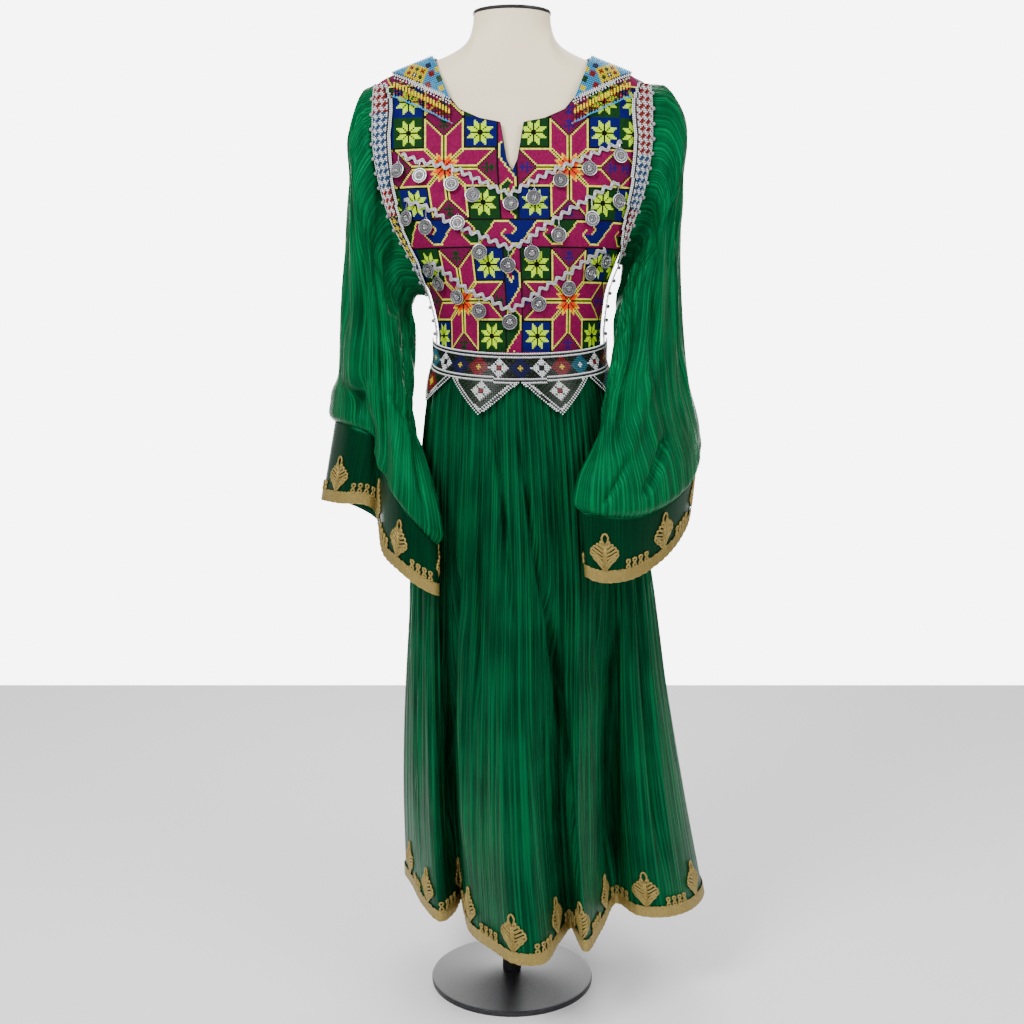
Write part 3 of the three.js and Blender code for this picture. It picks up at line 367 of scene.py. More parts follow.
def widestAt(z):
    if shoulderHeight(0.216) > z:
        return float(torsoAt(z, "halfWidth"))
    low, high = 0.0, 0.216
    for _ in range(40):
        middle = (low + high) / 2
        low, high = (middle, high) if shoulderHeight(middle) > z else (low, middle)
    return min(low, float(torsoAt(z, "halfWidth")))


def torsoRing(z, columns):
    widest = widestAt(z) - 0.00001
    slack = mix(form["slackBody"], form["slackShoulder"], ease((z - 1.375) / 0.03))
    angle = 2 * np.pi * np.arange(columns) / columns
    cosine = np.cos(angle)
    share = np.sign(cosine) * np.sqrt(np.abs(cosine))
    x = torsoAt(z, "shift") + widest * mix(cosine, share, 0.55)
    isEnd = np.arange(columns) % (columns // 2) == 0
    front = onTorso(x, np.full(columns, z), -1, -slack, isEnd)
    back = onTorso(x, np.full(columns, z), 1, -slack, isEnd)
    ring = np.where((np.sin(angle) > 0)[:, None], front, back)
    ring[isEnd, 1] = 0
    return ring


# A primitive grid bent to rings of points, joined along its seam and closed at its ends
def closedFromRings(name, rings):
    rows, columns = rings.shape[:2]
    deselectAll()
    bpy.ops.mesh.primitive_grid_add(x_subdivisions=columns, y_subdivisions=rows - 1, size=1)
    piece = bpy.context.object
    piece.name = name
    piece.data.name = name
    wrapped = np.concatenate([rings, rings[:, :1]], 1)
    piece.data.vertices.foreach_set("co", wrapped.astype(np.float32).ravel())
    bpy.ops.object.mode_set(mode="EDIT")
    bpy.ops.mesh.select_all(action="SELECT")
    bpy.ops.mesh.remove_doubles(threshold=0.00001)
    bpy.ops.mesh.select_all(action="DESELECT")
    bpy.ops.mesh.select_non_manifold()
    bpy.ops.mesh.fill_holes(sides=0)
    bpy.ops.mesh.select_all(action="SELECT")
    bpy.ops.mesh.normals_make_consistent(inside=False)
    bpy.ops.object.mode_set(mode="OBJECT")
    deselectAll()
    return piece


# A made object is finished: its place goes into its mesh, it gets its material and rides on the stand
def finishPiece(piece, name, material, slotName, *nodes, angle=40):
    deselectAll()
    bpy.context.view_layer.objects.active = piece
    piece.select_set(True)
    bpy.ops.object.transform_apply(location=True, rotation=True, scale=True)
    piece.name = name
    piece.data.name = name
    piece.data.materials.clear()
    piece.data.materials.append(material)
    bpy.ops.object.shade_smooth_by_angle(angle=math.radians(angle))
    deselectAll()
    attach(piece, "root")
    if nodes:
        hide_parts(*nodes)
    return piece


def buildForm():
    heights = np.concatenate([
        np.linspace(form["bottom"], 1.36, 34), np.linspace(1.37, 1.48, 24), np.linspace(1.485, form["neckTop"], 5),
    ])
    rings = np.stack([torsoRing(z, form["columns"]) for z in heights])
    finishPiece(closedFromRings("torso", rings), "torso", formCloth, "form", "form_torso", angle=50)

    neck = torsoRing(form["neckTop"] - 0.002, form["columns"])
    levels = [(0.0003, 0.99), (0.0003, 1.012), (0.001, form["capGrow"]), (0.004, form["capGrow"]),
              (0.0052, 1.0), (0.006, 0.94), (0.0063, 0.5), (0.0064, 0.1)]
    capRings = []
    for lift, grow in levels:
        ring = neck * (grow, grow, 1)
        ring[:, 2] = form["neckTop"] + lift
        capRings.append(ring)
    finishPiece(closedFromRings("neckCap", np.stack(capRings)), "neckCap", standPaint, "stand", "form_neck_cap")

    bottom, top = form["baseThickness"] + 0.0063, form["bottom"] - 0.0003
    bpy.ops.mesh.primitive_cylinder_add(vertices=48, radius=form["poleRadius"], depth=top - bottom,
                                        location=(0, 0, (top + bottom) / 2))
    pole = bpy.context.object
    applyModifier(pole, "BEVEL", width=0.0015, segments=3)
    finishPiece(pole, "pole", standPaint, "stand", "stand_pole")

    bpy.ops.mesh.primitive_cylinder_add(vertices=96, radius=form["baseRadius"], depth=form["baseThickness"] - 0.002,
                                        location=(0, 0, (form["baseThickness"] - 0.002) / 2))
    base = bpy.context.object
    bpy.ops.object.mode_set(mode="EDIT")
    bpy.ops.mesh.select_mode(type="FACE")
    bpy.ops.mesh.select_all(action="DESELECT")
    bpy.ops.object.mode_set(mode="OBJECT")
    for face in base.data.polygons:
        face.select = face.normal.z > 0.9
    bpy.ops.object.mode_set(mode="EDIT")
    for inset, lift in form["baseSteps"]:
        bpy.ops.mesh.inset(thickness=inset)
        bpy.ops.transform.translate(value=(0, 0, lift))
    bpy.ops.object.mode_set(mode="OBJECT")
    applyModifier(base, "BEVEL", width=0.0012, segments=3, limit_method="ANGLE")
    finishPiece(base, "base", standPaint, "stand", "stand_base")


buildForm()
print("dress form made")

# The bodice's edges from the shoulder to the middle: on the shoulder seam, then round the neckline
frontEdge = {
    "rank": [0, 1, 2, 3, 4, 5, 6, 7, 8, 9, 10, 11],
    "x": [0.200, 0.172, 0.142, 0.113, 0.110, 0.105, 0.095, 0.076, 0.047, 0.017, 0.008, 0],
    "z": [None, None, None, None, 1.434, 1.414, 1.386, 1.362, 1.349, 1.343, 1.290, 1.272],
}
backEdge = {
    "rank": [0, 1, 2, 3, 4, 5, 6, 7, 8],
    "x": [0.200, 0.172, 0.142, 0.113, 0.094, 0.074, 0.060, 0.036, 0],
    "z": [None, None, None, None, 1.448, 1.454, 1.459, 1.462, 1.463],
}
bodice = {"rows": 48, "perRank": 5, "crinkle": 0.0006}


# A column of the bodice from its top edge down to the waist, at a rank that may lie between two of the table's
def bodiceColumn(edge, rank, hand, face, lift):
    last = edge["rank"][-1]
    heights = [float(shoulderHeight(x)) if z is None else z for x, z in zip(edge["x"], edge["z"])]
    topX = np.interp(rank, edge["rank"], edge["x"])
    onShoulder = rank <= 3
    topZ = float(shoulderHeight(topX)) if onShoulder else float(np.interp(rank, edge["rank"], heights))
    bottomZ = garment["waist"] + garment["seam"]
    t = np.linspace(0, 1, bodice["rows"]) ** 1.25
    z = mix(topZ, bottomZ, t)
    if rank == 0:
        onSeam = (z <= armholeBottom(hand)) | (t == 0)
        return onTorso(edgeX(z, hand), z, face, lift, onSeam)
    spread = math.sin((math.pi / 2) * (1 - rank / last))
    topShare = topX / edgeHalfWidth(min(topZ, 1.4), hand)
    settle = ease((topZ - z) / (topZ - bottomZ))
    x = torsoAt(z, "shift") + hand * edgeHalfWidth(z, hand) * mix(topShare, spread, settle)
    return onTorso(x, z, face, lift, (t == 0) & onShoulder)


def bodiceGrid(edge, face, lift):
    last = edge["rank"][-1]
    ranks = np.linspace(0, last, last * bodice["perRank"] + 1)
    half = lambda hand: [bodiceColumn(edge, rank, hand, face, lift) for rank in ranks]
    columns = half(-1) + half(1)[:-1][::-1]
    return np.stack(columns, 1)


# Cloth of one thickness: the outer face is given, the wall goes inwards
def clothPiece(name, points, wall, material, slotName, *nodes, isRound=False):
    mesh = gridMesh(name, points, isRound, clothCoordinates(points, isRound))
    piece = addPiece(name, mesh, material, slotName, *nodes)
    applyModifier(piece, "SOLIDIFY", thickness=wall, offset=-1)
    return piece


def buildBodice():
    front = bodiceGrid(frontEdge, -1, bodiceOuter - 0.0005)[:, ::-1]
    frontCloth = clothPiece("bodiceFront", front, garment["wall"] - 0.0005, darkCord, "embroidery", "bodice_front")
    back = bodiceGrid(backEdge, 1, bodiceOuter)
    cloth = clothCoordinates(back)
    u, v = cloth[..., 0], cloth[..., 1]
    edgeFade = ease(v / 0.03) * ease((v.max() - v) / 0.02)
    crinkle = bodice["crinkle"] * unevenness(u * 130, v * 5, 11) * edgeFade
    back = back + gridNormals(back) * crinkle[..., None]
    backCloth = clothPiece("bodiceBack", back, garment["wall"], silk, "silk", "bodice_back")
    return frontCloth, backCloth


bodiceFront, bodiceBack = buildBodice()
print("bodice made")

# Colours as the eye sees them, turned into the cloth's own, a little darker
def seen(red, green, blue, deep=1.0):
    return tuple(deep * (value / 255) ** 2.2 for value in (red, green, blue))


def paintCorners(mesh, colours):
    whole = np.concatenate([colours, np.ones((len(colours), 1))], 1)
    layer = mesh.color_attributes.new(name="paint", type="FLOAT_COLOR", domain="CORNER")
    layer.data.foreach_set("color", whole.astype(np.float32).ravel())


# A mesh of the kept cells of a grid of points, each cell with its own colour and, in the UV, its own place
def patchMesh(name, points, keep, colours, uv):
    faces = gridFaces(*points.shape[:2])[keep.ravel()]
    used, faces = np.unique(faces, return_inverse=True)
    mesh = newMesh(name, points.reshape(-1, 3)[used], faces.reshape(-1, 4).tolist())
    layCloth(mesh, uv.reshape(-1, 2)[used[faces.ravel()]])
    paintCorners(mesh, np.repeat(colours[keep], 4, 0))
    return mesh


# Cords: rings of points along a path, round or flattened, with their faces outwards
def cordRings(path, out, radius, sides=6, flat=1.0):
    way = unit(np.gradient(path, axis=0))
    side = unit(np.cross(way, out))
    up = np.cross(side, way)
    angle = 2 * np.pi * np.arange(sides) / sides
    radius = np.broadcast_to(radius, len(path))[:, None, None]
    return path[:, None] + radius * (np.cos(angle)[None, :, None] * flat * up[:, None]
                                     + np.sin(angle)[None, :, None] * side[:, None])


def cordMesh(name, cords):
    faces, start = [], 0
    for rings in cords:
        rows, sides = rings.shape[:2]
        faces.extend((gridFaces(rows, sides, True) + start).tolist())
        faces.append((start + np.arange(sides)[::-1]).tolist())
        faces.append((start + (rows - 1) * sides + np.arange(sides)).tolist())
        start += rows * sides
    return newMesh(name, np.concatenate([rings.reshape(-1, 3) for rings in cords]), faces)


# Points set at even steps along a line of table points
def evenLine(points, spacing):
    points = np.array(points, float)
    fine = np.linspace(0, len(points) - 1, 60 * len(points))
    whole = np.arange(len(points))
    line = np.stack([along({"at": whole, "value": values}, "at", fine, "value") for values in points.T], 1)
    walked = np.concatenate([[0], np.cumsum(np.linalg.norm(np.diff(line, axis=0), axis=1))])
    count = max(2, round(walked[-1] / spacing) + 1)
    at = np.linspace(0, walked[-1], count)
    return np.stack([np.interp(at, walked, line[:, k]) for k in range(points.shape[1])], 1), at


# Straight lines between table points, carried on past both ends
def lineThrough(at, places, values):
    places, values = np.array(places, float), np.array(values, float)
    i = np.clip(np.searchsorted(places, at, side="right") - 1, 0, len(places) - 2)
    return values[i] + (at - places[i]) * (values[i + 1] - values[i]) / (places[i + 1] - places[i])


# The front laid out flat: the length walked across it at each height, from the middle outwards
def walkLines(z):
    x = np.linspace(-0.215, 0.215, 431)
    y = torsoDepth(x[None, :], np.asarray(z)[:, None], -1)
    step = np.hypot(np.diff(x)[None, :], np.diff(y, axis=1))
    walked = np.concatenate([np.zeros((len(step), 1)), np.cumsum(step, 1)], 1)
    return x, walked - walked[:, 215:216]


def xAtWalk(z, walk):
    x, lines = walkLines(z)
    return np.stack([np.interp(wanted, line, x) for wanted, line in zip(walk, lines)])


neckX = frontEdge["x"][:2:-1]
neckZ = [float(shoulderHeight(x)) if z is None else z for x, z in zip(frontEdge["x"], frontEdge["z"])][:2:-1]


def topOfFront(x):
    return np.where(np.abs(x) < neckX[-1], np.interp(np.abs(x), neckX, neckZ), shoulderHeight(x))


def isOnFront(x, z, margin):
    half = np.where(x < 0, edgeHalfWidth(z, -1), edgeHalfWidth(z, 1))
    return (z < topOfFront(x) - margin) & (np.abs(x - torsoAt(z, "shift")) < half - margin * 3)


# Cross-stitch: star tiles left and right of a centre strip, with a hooked band across them
thread = {
    "m": seen(190, 0, 105, 0.36), "t": seen(150, 0, 88, 0.38), "g": seen(0, 75, 28, 0.45),
    "n": seen(14, 4, 130, 0.4), "y": seen(240, 240, 80, 0.8), "l": seen(205, 255, 25, 0.8),
    "o": seen(255, 70, 5, 0.75), "s": seen(255, 190, 20, 0.8), "p": seen(60, 0, 130, 0.45),
    "k": seen(10, 6, 12, 0.5),
}
stitching = {
    "columns": [-66.5, -36, -5.5, 5.5, 36, 66.5],
    "lowWalk": [-0.137, -0.0728, -0.0094, 0.0159, 0.0832, 0.149],
    "highWalk": [-0.173, -0.0976, -0.0223, 0.0079, 0.0818, 0.156],
    "lowZ": 1.091, "highZ": 1.282,
    "rows": [0, 61, 78, 139], "heights": [1.016, 1.165, 1.206, 1.351],
    "firstRow": -4, "lastRow": 178, "reach": 80, "lift": 0.0023, "ridge": 0.00035, "binding": 0.0007,
}
petal = {"half": 11, "foot": 18, "flower": 21}
motif = {3: "...p....", 2: "..pp..p.", 1: "...p.pp.", 0: "pppppppp"}
hookBand = [
    "yyyyyyyyy................", "mmmmmmmmmy..............y", "mmmmmmmmmmy............ym",
    "mmmmmmmmmmmy...........ym", "mmmmmmmmmmmmy.........ymm", "mmmmmmymmmmmy........ymmm",
    "mmmmmymmmmmy........ymmmm", "mmmmymmmmmy........ymmmmm", "mmmmy..............ymmmmm",
    "mmmmmy............ymmmmmm", "mmmmmmy..........ymmmmmmm", "mmmmmmmy........ymmmmmmmm",
    "mmmmmmmmy......ymmmmmmmmm", "mmmmmmmmmyyyyyyymmmmmmmmm",
]
strip = [
    "ymm....ym", "ymmm....y", ".ymm....y", ".ymmy...y", "..ymy...y", "..yy....y", "...y....y", "........y",
    "........y", "........y", ".......ym", ".......ym", "......ymm", ".....ymmm", ".....ymmm", "....ymmmm",
    "...ymmmmm", "...ymmmmm", "..ymmmmmm", ".ymmmmmmm", ".ymmmmmmm", "ymmmmmmmm", "ymmmymmmm", "ymmy.ymmm",
    "ymy...ymm",
]


def starTile(x, y, isRight):
    across, up = np.abs(x), np.abs(y)
    major, minor = np.maximum(across, up), np.minimum(across, up)
    half, foot = petal["half"], petal["foot"]
    cells = np.full(x.shape, "m")
    cells[major > foot + minor] = "t"
    cells[major == foot + minor + 1] = "k"
    cells[major == foot + minor] = "y"
    cells[(minor == 1) & (major <= foot)] = "y"
    cells[(minor == 0) & (major <= foot)] = "k"
    cells[(major - minor == 1) & (minor <= half)] = "y"
    cells[(major == minor) & (minor <= half)] = "k"
    cells[(minor == half) & (major <= foot + half)] = "y"
    cells[(minor > half) & (x * y < 0)] = "g"
    cells[(minor > half) & (x * y > 0)] = "n"
    cells[minor == half + 1] = "k"
    cells[(minor >= 1) & (minor <= 3) & (major > minor) & (major <= minor + 3)] = "o"
    cells[(minor >= 1) & (minor <= 4) & (major == minor + 4)] = "s"
    cells[(minor == 4) & (major >= 5) & (major <= 8)] = "s"
    alongPetal, acrossPetal = np.abs(across - petal["flower"]), np.abs(up - petal["flower"])
    most, least = np.maximum(alongPetal, acrossPetal), np.minimum(alongPetal, acrossPetal)
    cells[(least >= 1) & (least <= 3) & (most <= 4 + least)] = "l"
    cells[(most == least) & ((least == 2) | (least == 3))] = "k"
    cells[(least == 0) & (most <= 5)] = "k"
    cells[most <= 1] = "k"
    for place, row in motif.items():
        for i, mark in enumerate(row):
            if mark == "p":
                cells[(minor == place) & (major == 22 + i)] = "p" if isRight else "g"
    return cells


def stitchCells(c, r):
    fold = lambda value: (value + 30) % 61 - 30
    y = np.where(r <= 60, r - 30, np.where(r < 139, r - 108, fold(r - 169)))
    cells = np.where(c < 0, starTile(fold(c + 36), y, False), starTile(fold(c - 36), y, True))
    cells[r < 0] = "m"
    inStrip = (np.abs(c) <= 5) & (r >= 0)
    lower = r <= 60
    row = np.where(lower, (22 - r) % 25, (123 - r) % 25)
    column = np.clip(np.where(lower, c + 5, 5 - c) - 1, 0, 8)
    chart = np.array([list(line) for line in strip])[row, column]
    navy = np.where(lower, (r >= 26) & (r <= 50), (r >= 102) & (r <= 126))
    chart = np.where(chart == ".", np.where(navy, "n", "g"), chart)
    cells = np.where(inStrip, np.where(np.abs(c) == 5, "k", chart), cells)
    fromTop = 77 - r
    inBand = (fromTop >= 0) & (fromTop <= 16)
    hook = np.array([list(line) for line in hookBand])[np.clip(fromTop - 1, 0, 13), (c + 9) % 25]
    hook = np.where(hook == ".", np.where(((c + 9) // 25) % 2 == 0, "n", "g"), hook)
    hook = np.where(fromTop == 15, "m", np.where((fromTop == 0) | (fromTop == 16), "k", hook))
    return np.where(inBand, hook, cells)


# The paint of each face, a little lighter or darker from place to place
def shaded(tree, source, values):
    paint = addNode(tree, "Attribute", attribute_name="paint")
    shade = addNode(tree, "MapRange", {"Value": source}, values)
    return addNode(tree, "VectorMath", {0: paint, "Scale": shade}, operation="SCALE")


# Thread on a dark ground: crossed stitches in the bump, and each stitch a little lighter or darker
def paintedThread(name):
    material, tree, shader = newMaterial(name, Roughness=0.7, Specular_IOR_Level=0.12)
    cloth = addNode(tree, "UVMap", uv_map="cloth")
    cell = addNode(tree, "VectorMath", {0: cloth}, operation="FLOOR")
    chance = addNode(tree, "TexWhiteNoise", {"Vector": cell}, noise_dimensions="2D")
    part = addNode(tree, "VectorMath", {0: cloth}, operation="FRACTION")
    arms = []
    for axis in ("X", "Y"):
        spot = addNode(tree, "SeparateXYZ", {0: part}, pick=axis)
        centred = addNode(tree, "Math", {0: spot}, {1: 0.5}, operation="SUBTRACT")
        arms.append(addNode(tree, "Math", {0: centred}, operation="ABSOLUTE"))
    between = addNode(tree, "Math", dict(enumerate(arms)), operation="SUBTRACT")
    away = addNode(tree, "Math", {0: between}, operation="ABSOLUTE")
    cross = addNode(tree, "MapRange", {"Value": away}, {"From Max": 0.28, "To Min": 1.0, "To Max": 0.0})
    bump = addNode(tree, "Bump", {"Height": cross}, {"Strength": 0.6, "Distance": 0.0005})
    feed(tree, shader, Base_Color=shaded(tree, chance, {"To Min": 0.78, "To Max": 1.15}), Normal=bump)
    return material


def neckline():
    samples = []
    for hand in (-1, 1):
        line = [(hand * x, z) for x, z in zip(neckX, neckZ)]
        samples.append(line[::-1] if hand < 0 else line[1:])
    corners = np.array(samples[0] + samples[1])
    step = np.linalg.norm(np.diff(corners, axis=0), axis=1)
    walked = np.concatenate([[0], np.cumsum(step)])
    at = np.linspace(0, walked[-1], round(walked[-1] / 0.001))
    return np.stack([np.interp(at, walked, corners[:, k]) for k in range(2)], 1)


def buildEmbroidery():
    across = np.arange(-stitching["reach"], stitching["reach"] + 2) - 0.5
    up = np.arange(stitching["firstRow"], stitching["lastRow"] + 0.25, 0.5)
    z = lineThrough(up, stitching["rows"], stitching["heights"])
    low = lineThrough(across, stitching["columns"], stitching["lowWalk"])
    high = lineThrough(across, stitching["columns"], stitching["highWalk"])
    rise = np.clip((z - stitching["lowZ"]) / (stitching["highZ"] - stitching["lowZ"]), 0, 1)
    x = xAtWalk(z, mix(low, high, rise[:, None]))
    z = np.broadcast_to(z[:, None], x.shape).copy()
    middle = lambda grid: (grid[:-1, :-1] + grid[1:, :-1] + grid[:-1, 1:] + grid[1:, 1:]) / 4
    keep = isOnFront(middle(x), middle(z), 0.0006)
    count = np.zeros(x.shape, int)
    for a in (0, 1):
        for b in (0, 1):
            count[a:a + keep.shape[0], b:b + keep.shape[1]] += keep
    line = neckline()
    edge = np.argwhere((count > 0) & (count < 4))
    for r, c in edge:
        gap = np.hypot(line[:, 0] - x[r, c], line[:, 1] - z[r, c])
        nearest = int(np.argmin(gap))
        if gap[nearest] < 0.0035:
            x[r, c], z[r, c] = line[nearest]
    lift = stitching["lift"] + stitching["ridge"] * (up % 1 == 0.5)
    points = onTorso(x, z, -1, np.broadcast_to(lift[:, None], x.shape))
    c = np.arange(-stitching["reach"], stitching["reach"] + 1)
    r = np.arange(stitching["firstRow"], stitching["lastRow"])
    cells = stitchCells(*np.meshgrid(c, r))
    colours = np.zeros((*cells.shape, 3))
    for mark, colour in thread.items():
        colours[cells == mark] = colour
    uv = np.stack(np.meshgrid(across + 0.5, up), -1)
    mesh = patchMesh("embroidery", points, keep, np.repeat(colours, 2, 0), uv)
    piece = addPiece("embroidery", mesh, paintedThread("cross-stitch thread"), "embroidery", "bodice_front")

    lift = np.full(len(line), stitching["lift"] + 0.0003)
    front = onTorso(line[:, 0], line[:, 1] - 0.0002, -1, lift)
    cords = [cordRings(front, onTorsoOut(line[:, 0], line[:, 1], -1), stitching["binding"], 6)]
    # Along the back neckline a thicker dark cord gives the dark band seen there behind the neck
    backX = np.linspace(-0.113, 0.113, 120)
    backZ = np.interp(np.abs(backX), backEdge["x"][3:][::-1], [1.463, 1.462, 1.459, 1.454, 1.448, 1.445]) - 0.0004
    back = onTorso(backX, backZ, 1, np.full(120, bodiceOuter))
    cords.append(cordRings(back, onTorsoOut(backX, backZ, 1), stitching["binding"] * 1.3, 6))
    binding = addPiece("neckBinding", cordMesh("neckBinding", cords), darkCord, "embroidery", "bodice_front")
    return [piece, binding]


def onTorsoOut(x, z, face):
    return unit(onTorso(x, z, face, np.full(np.shape(x), 0.002)) - onTorso(x, z, face, np.full(np.shape(x), 0.001)))


frontTrims = buildEmbroidery()
print("embroidery made")

# Beadwork: one small flattened bead, repeated over a place on the cloth with a backing under it, coloured as the beads
# darkened: painted shade between them
bead = {
    "w": seen(236, 238, 240), "b": seen(60, 165, 220, 0.85), "d": seen(15, 20, 100, 0.5), "r": seen(175, 5, 10, 0.6),
    "y": seen(250, 222, 0, 0.85), "g": seen(5, 95, 35, 0.5), "k": seen(8, 8, 10, 0.5), "o": seen(240, 95, 5, 0.75),
    "c": seen(50, 95, 150, 0.6), "m": seen(140, 15, 30, 0.7), "s": seen(150, 150, 156), "t": seen(45, 115, 135, 0.7),
    # shade: how dark the backing is against its bead's colour, painted shade between the beads
    "pitch": 0.0026, "across": 0.00128, "tall": 0.0011, "backing": 0.00045, "shade": 0.25,
}


def beadShape():
    deselectAll()
    bpy.ops.mesh.primitive_ico_sphere_add(subdivisions=1, radius=1)
    model = bpy.context.object
    points = np.array([tuple(vertex.co) for vertex in model.data.vertices])
    faces = np.array([tuple(face.vertices) for face in model.data.polygons])
    bpy.data.objects.remove(model)
    return points, faces


beadPoints, beadFaces = beadShape()


# Many beads as one list of points, faces and colours
def beadCopies(centres, outs, sizes, colours):
    side = unit(np.cross(np.array([0.0, 0.0, 1.0]), outs))
    up = np.cross(outs, side)
    sizes = np.broadcast_to(sizes, (len(centres), 3))
    local = beadPoints[None] * sizes[:, None]
    points = (centres[:, None] + local[..., :1] * side[:, None] + local[..., 1:2] * up[:, None]
              + local[..., 2:] * outs[:, None])
    faces = beadFaces[None] + (np.arange(len(centres)) * len(beadPoints))[:, None, None]
    return points.reshape(-1, 3), faces.reshape(-1, 3), np.repeat(colours, len(beadFaces), 0)


def paintedBeads(name):
    material, tree, shader = newMaterial(name, Roughness=0.3, Specular_IOR_Level=0.3)
    place = addNode(tree, "TexCoord", pick="Object")
    grain = addNode(tree, "TexNoise", {"Vector": place}, {"Scale": 700.0, "Detail": 1.0})
    values = {"From Min": 0.3, "From Max": 0.7, "To Min": 0.82, "To Max": 1.12}
    feed(tree, shader, Base_Color=shaded(tree, grain, values))
    return material


beadGlass = paintedBeads("opaque glass beads")


# A piece of beadwork: a grid of places, the marks of its cells ("." is no bead), a backing, and loose beads
def beadPiece(name, slotName, node, grids, loose=()):
    points, faces, colours, start = [], [], [], 0

    def add(newPoints, newFaces, newColours):
        nonlocal start
        points.append(newPoints)
        faces.extend((newFaces + start).tolist())
        colours.append(np.repeat(newColours, newFaces.shape[1], 0))
        start += len(newPoints)

    colourOf = lambda marks: np.array([bead[mark] for mark in marks])
    for centres, outs, marks in grids:
        kept = marks != "."
        size = (bead["across"], bead["across"], bead["tall"])
        add(*beadCopies(centres[kept], outs[kept], size, colourOf(marks[kept])))
        solid = kept[:-1, :-1] & kept[1:, :-1] & kept[:-1, 1:] & kept[1:, 1:]
        quads = gridFaces(*kept.shape)[solid.ravel()]
        below = (centres - outs * bead["backing"]).reshape(-1, 3)
        side = np.cross(below[quads[:, 1]] - below[quads[:, 0]], below[quads[:, 3]] - below[quads[:, 0]])
        isBack = np.sum(side * outs.reshape(-1, 3)[quads[:, 0]], 1) < 0
        # The backing under each cell takes its bead's colour darkened: painted shade between the beads, on the real
        # backing
        shade = colourOf(marks.ravel()[quads[:, 0]]) * bead["shade"]
        quads[isBack] = quads[isBack][:, ::-1]
        used, flat = np.unique(quads, return_inverse=True)
        add(below[used], flat.reshape(-1, 4), shade)
    for centres, outs, sizes, marks in loose:
        add(*beadCopies(centres, outs, sizes, colourOf(marks)))
    mesh = newMesh(name, np.concatenate(points), faces)
    paintCorners(mesh, np.concatenate(colours))
    return addPiece(name, mesh, beadGlass, slotName, node)


# Shoulder yokes: rows of beads along the shoulder, with a diamond and small squares on light blue
yoke = {
    "outerX": 0.176, "neckX": 0.114, "tip": (0.083, 1.367), "seamDrop": 0.0015, "outerDrop": 0.007,
    "lift": 0.0025 + 0.0046, "diamond": (0.138, 1.410), "edge": 0.0012,
    "squares": [(-9, -2, "d"), (9, -1, "g"), (-9, 3, "r"), (-13, 2, "y"), (10, 3, "r"), (-12, 7, "g"), (0, 9, "d"),
                (-5, 8, "r"), (6, 7, "d"), (-15, 9, "d"), (-17, 14, "r"), (-11, 12, "y")],
}
yokeDiamond = ["rgm", "gdr", "drg"]
fringe = {
    "from": 0.06, "to": 0.95, "strands": 19, "beads": 11, "lift": 0.0025 + 0.0042, "step": 0.0025, "top": 0.0012,
    "marks": ["wdkyyyrrgob", "wdgyyyokrdb", "wrdoyyrgkob", "wgkyyydrorb"], "chain": 38, "drops": (3, 4, 5),
    "dropSize": (0.0018, 0.0019, 0.0015), "beadSize": (0.0013, 0.00125, 0.0012),
}


def yokeLine(hand, share, drop=0.0):
    seamZ = float(shoulderHeight(yoke["outerX"])) - yoke["seamDrop"] - yoke["outerDrop"]
    x = mix(yoke["outerX"], yoke["tip"][0], share)
    z = mix(seamZ, yoke["tip"][1], share ** 1.15) - drop
    return hand * x, z


def hangAt(places):
    x, z = np.array(places).T
    return onTorso(x, z, -1, np.full(len(x), fringe["lift"])), onTorsoOut(x, z, -1)


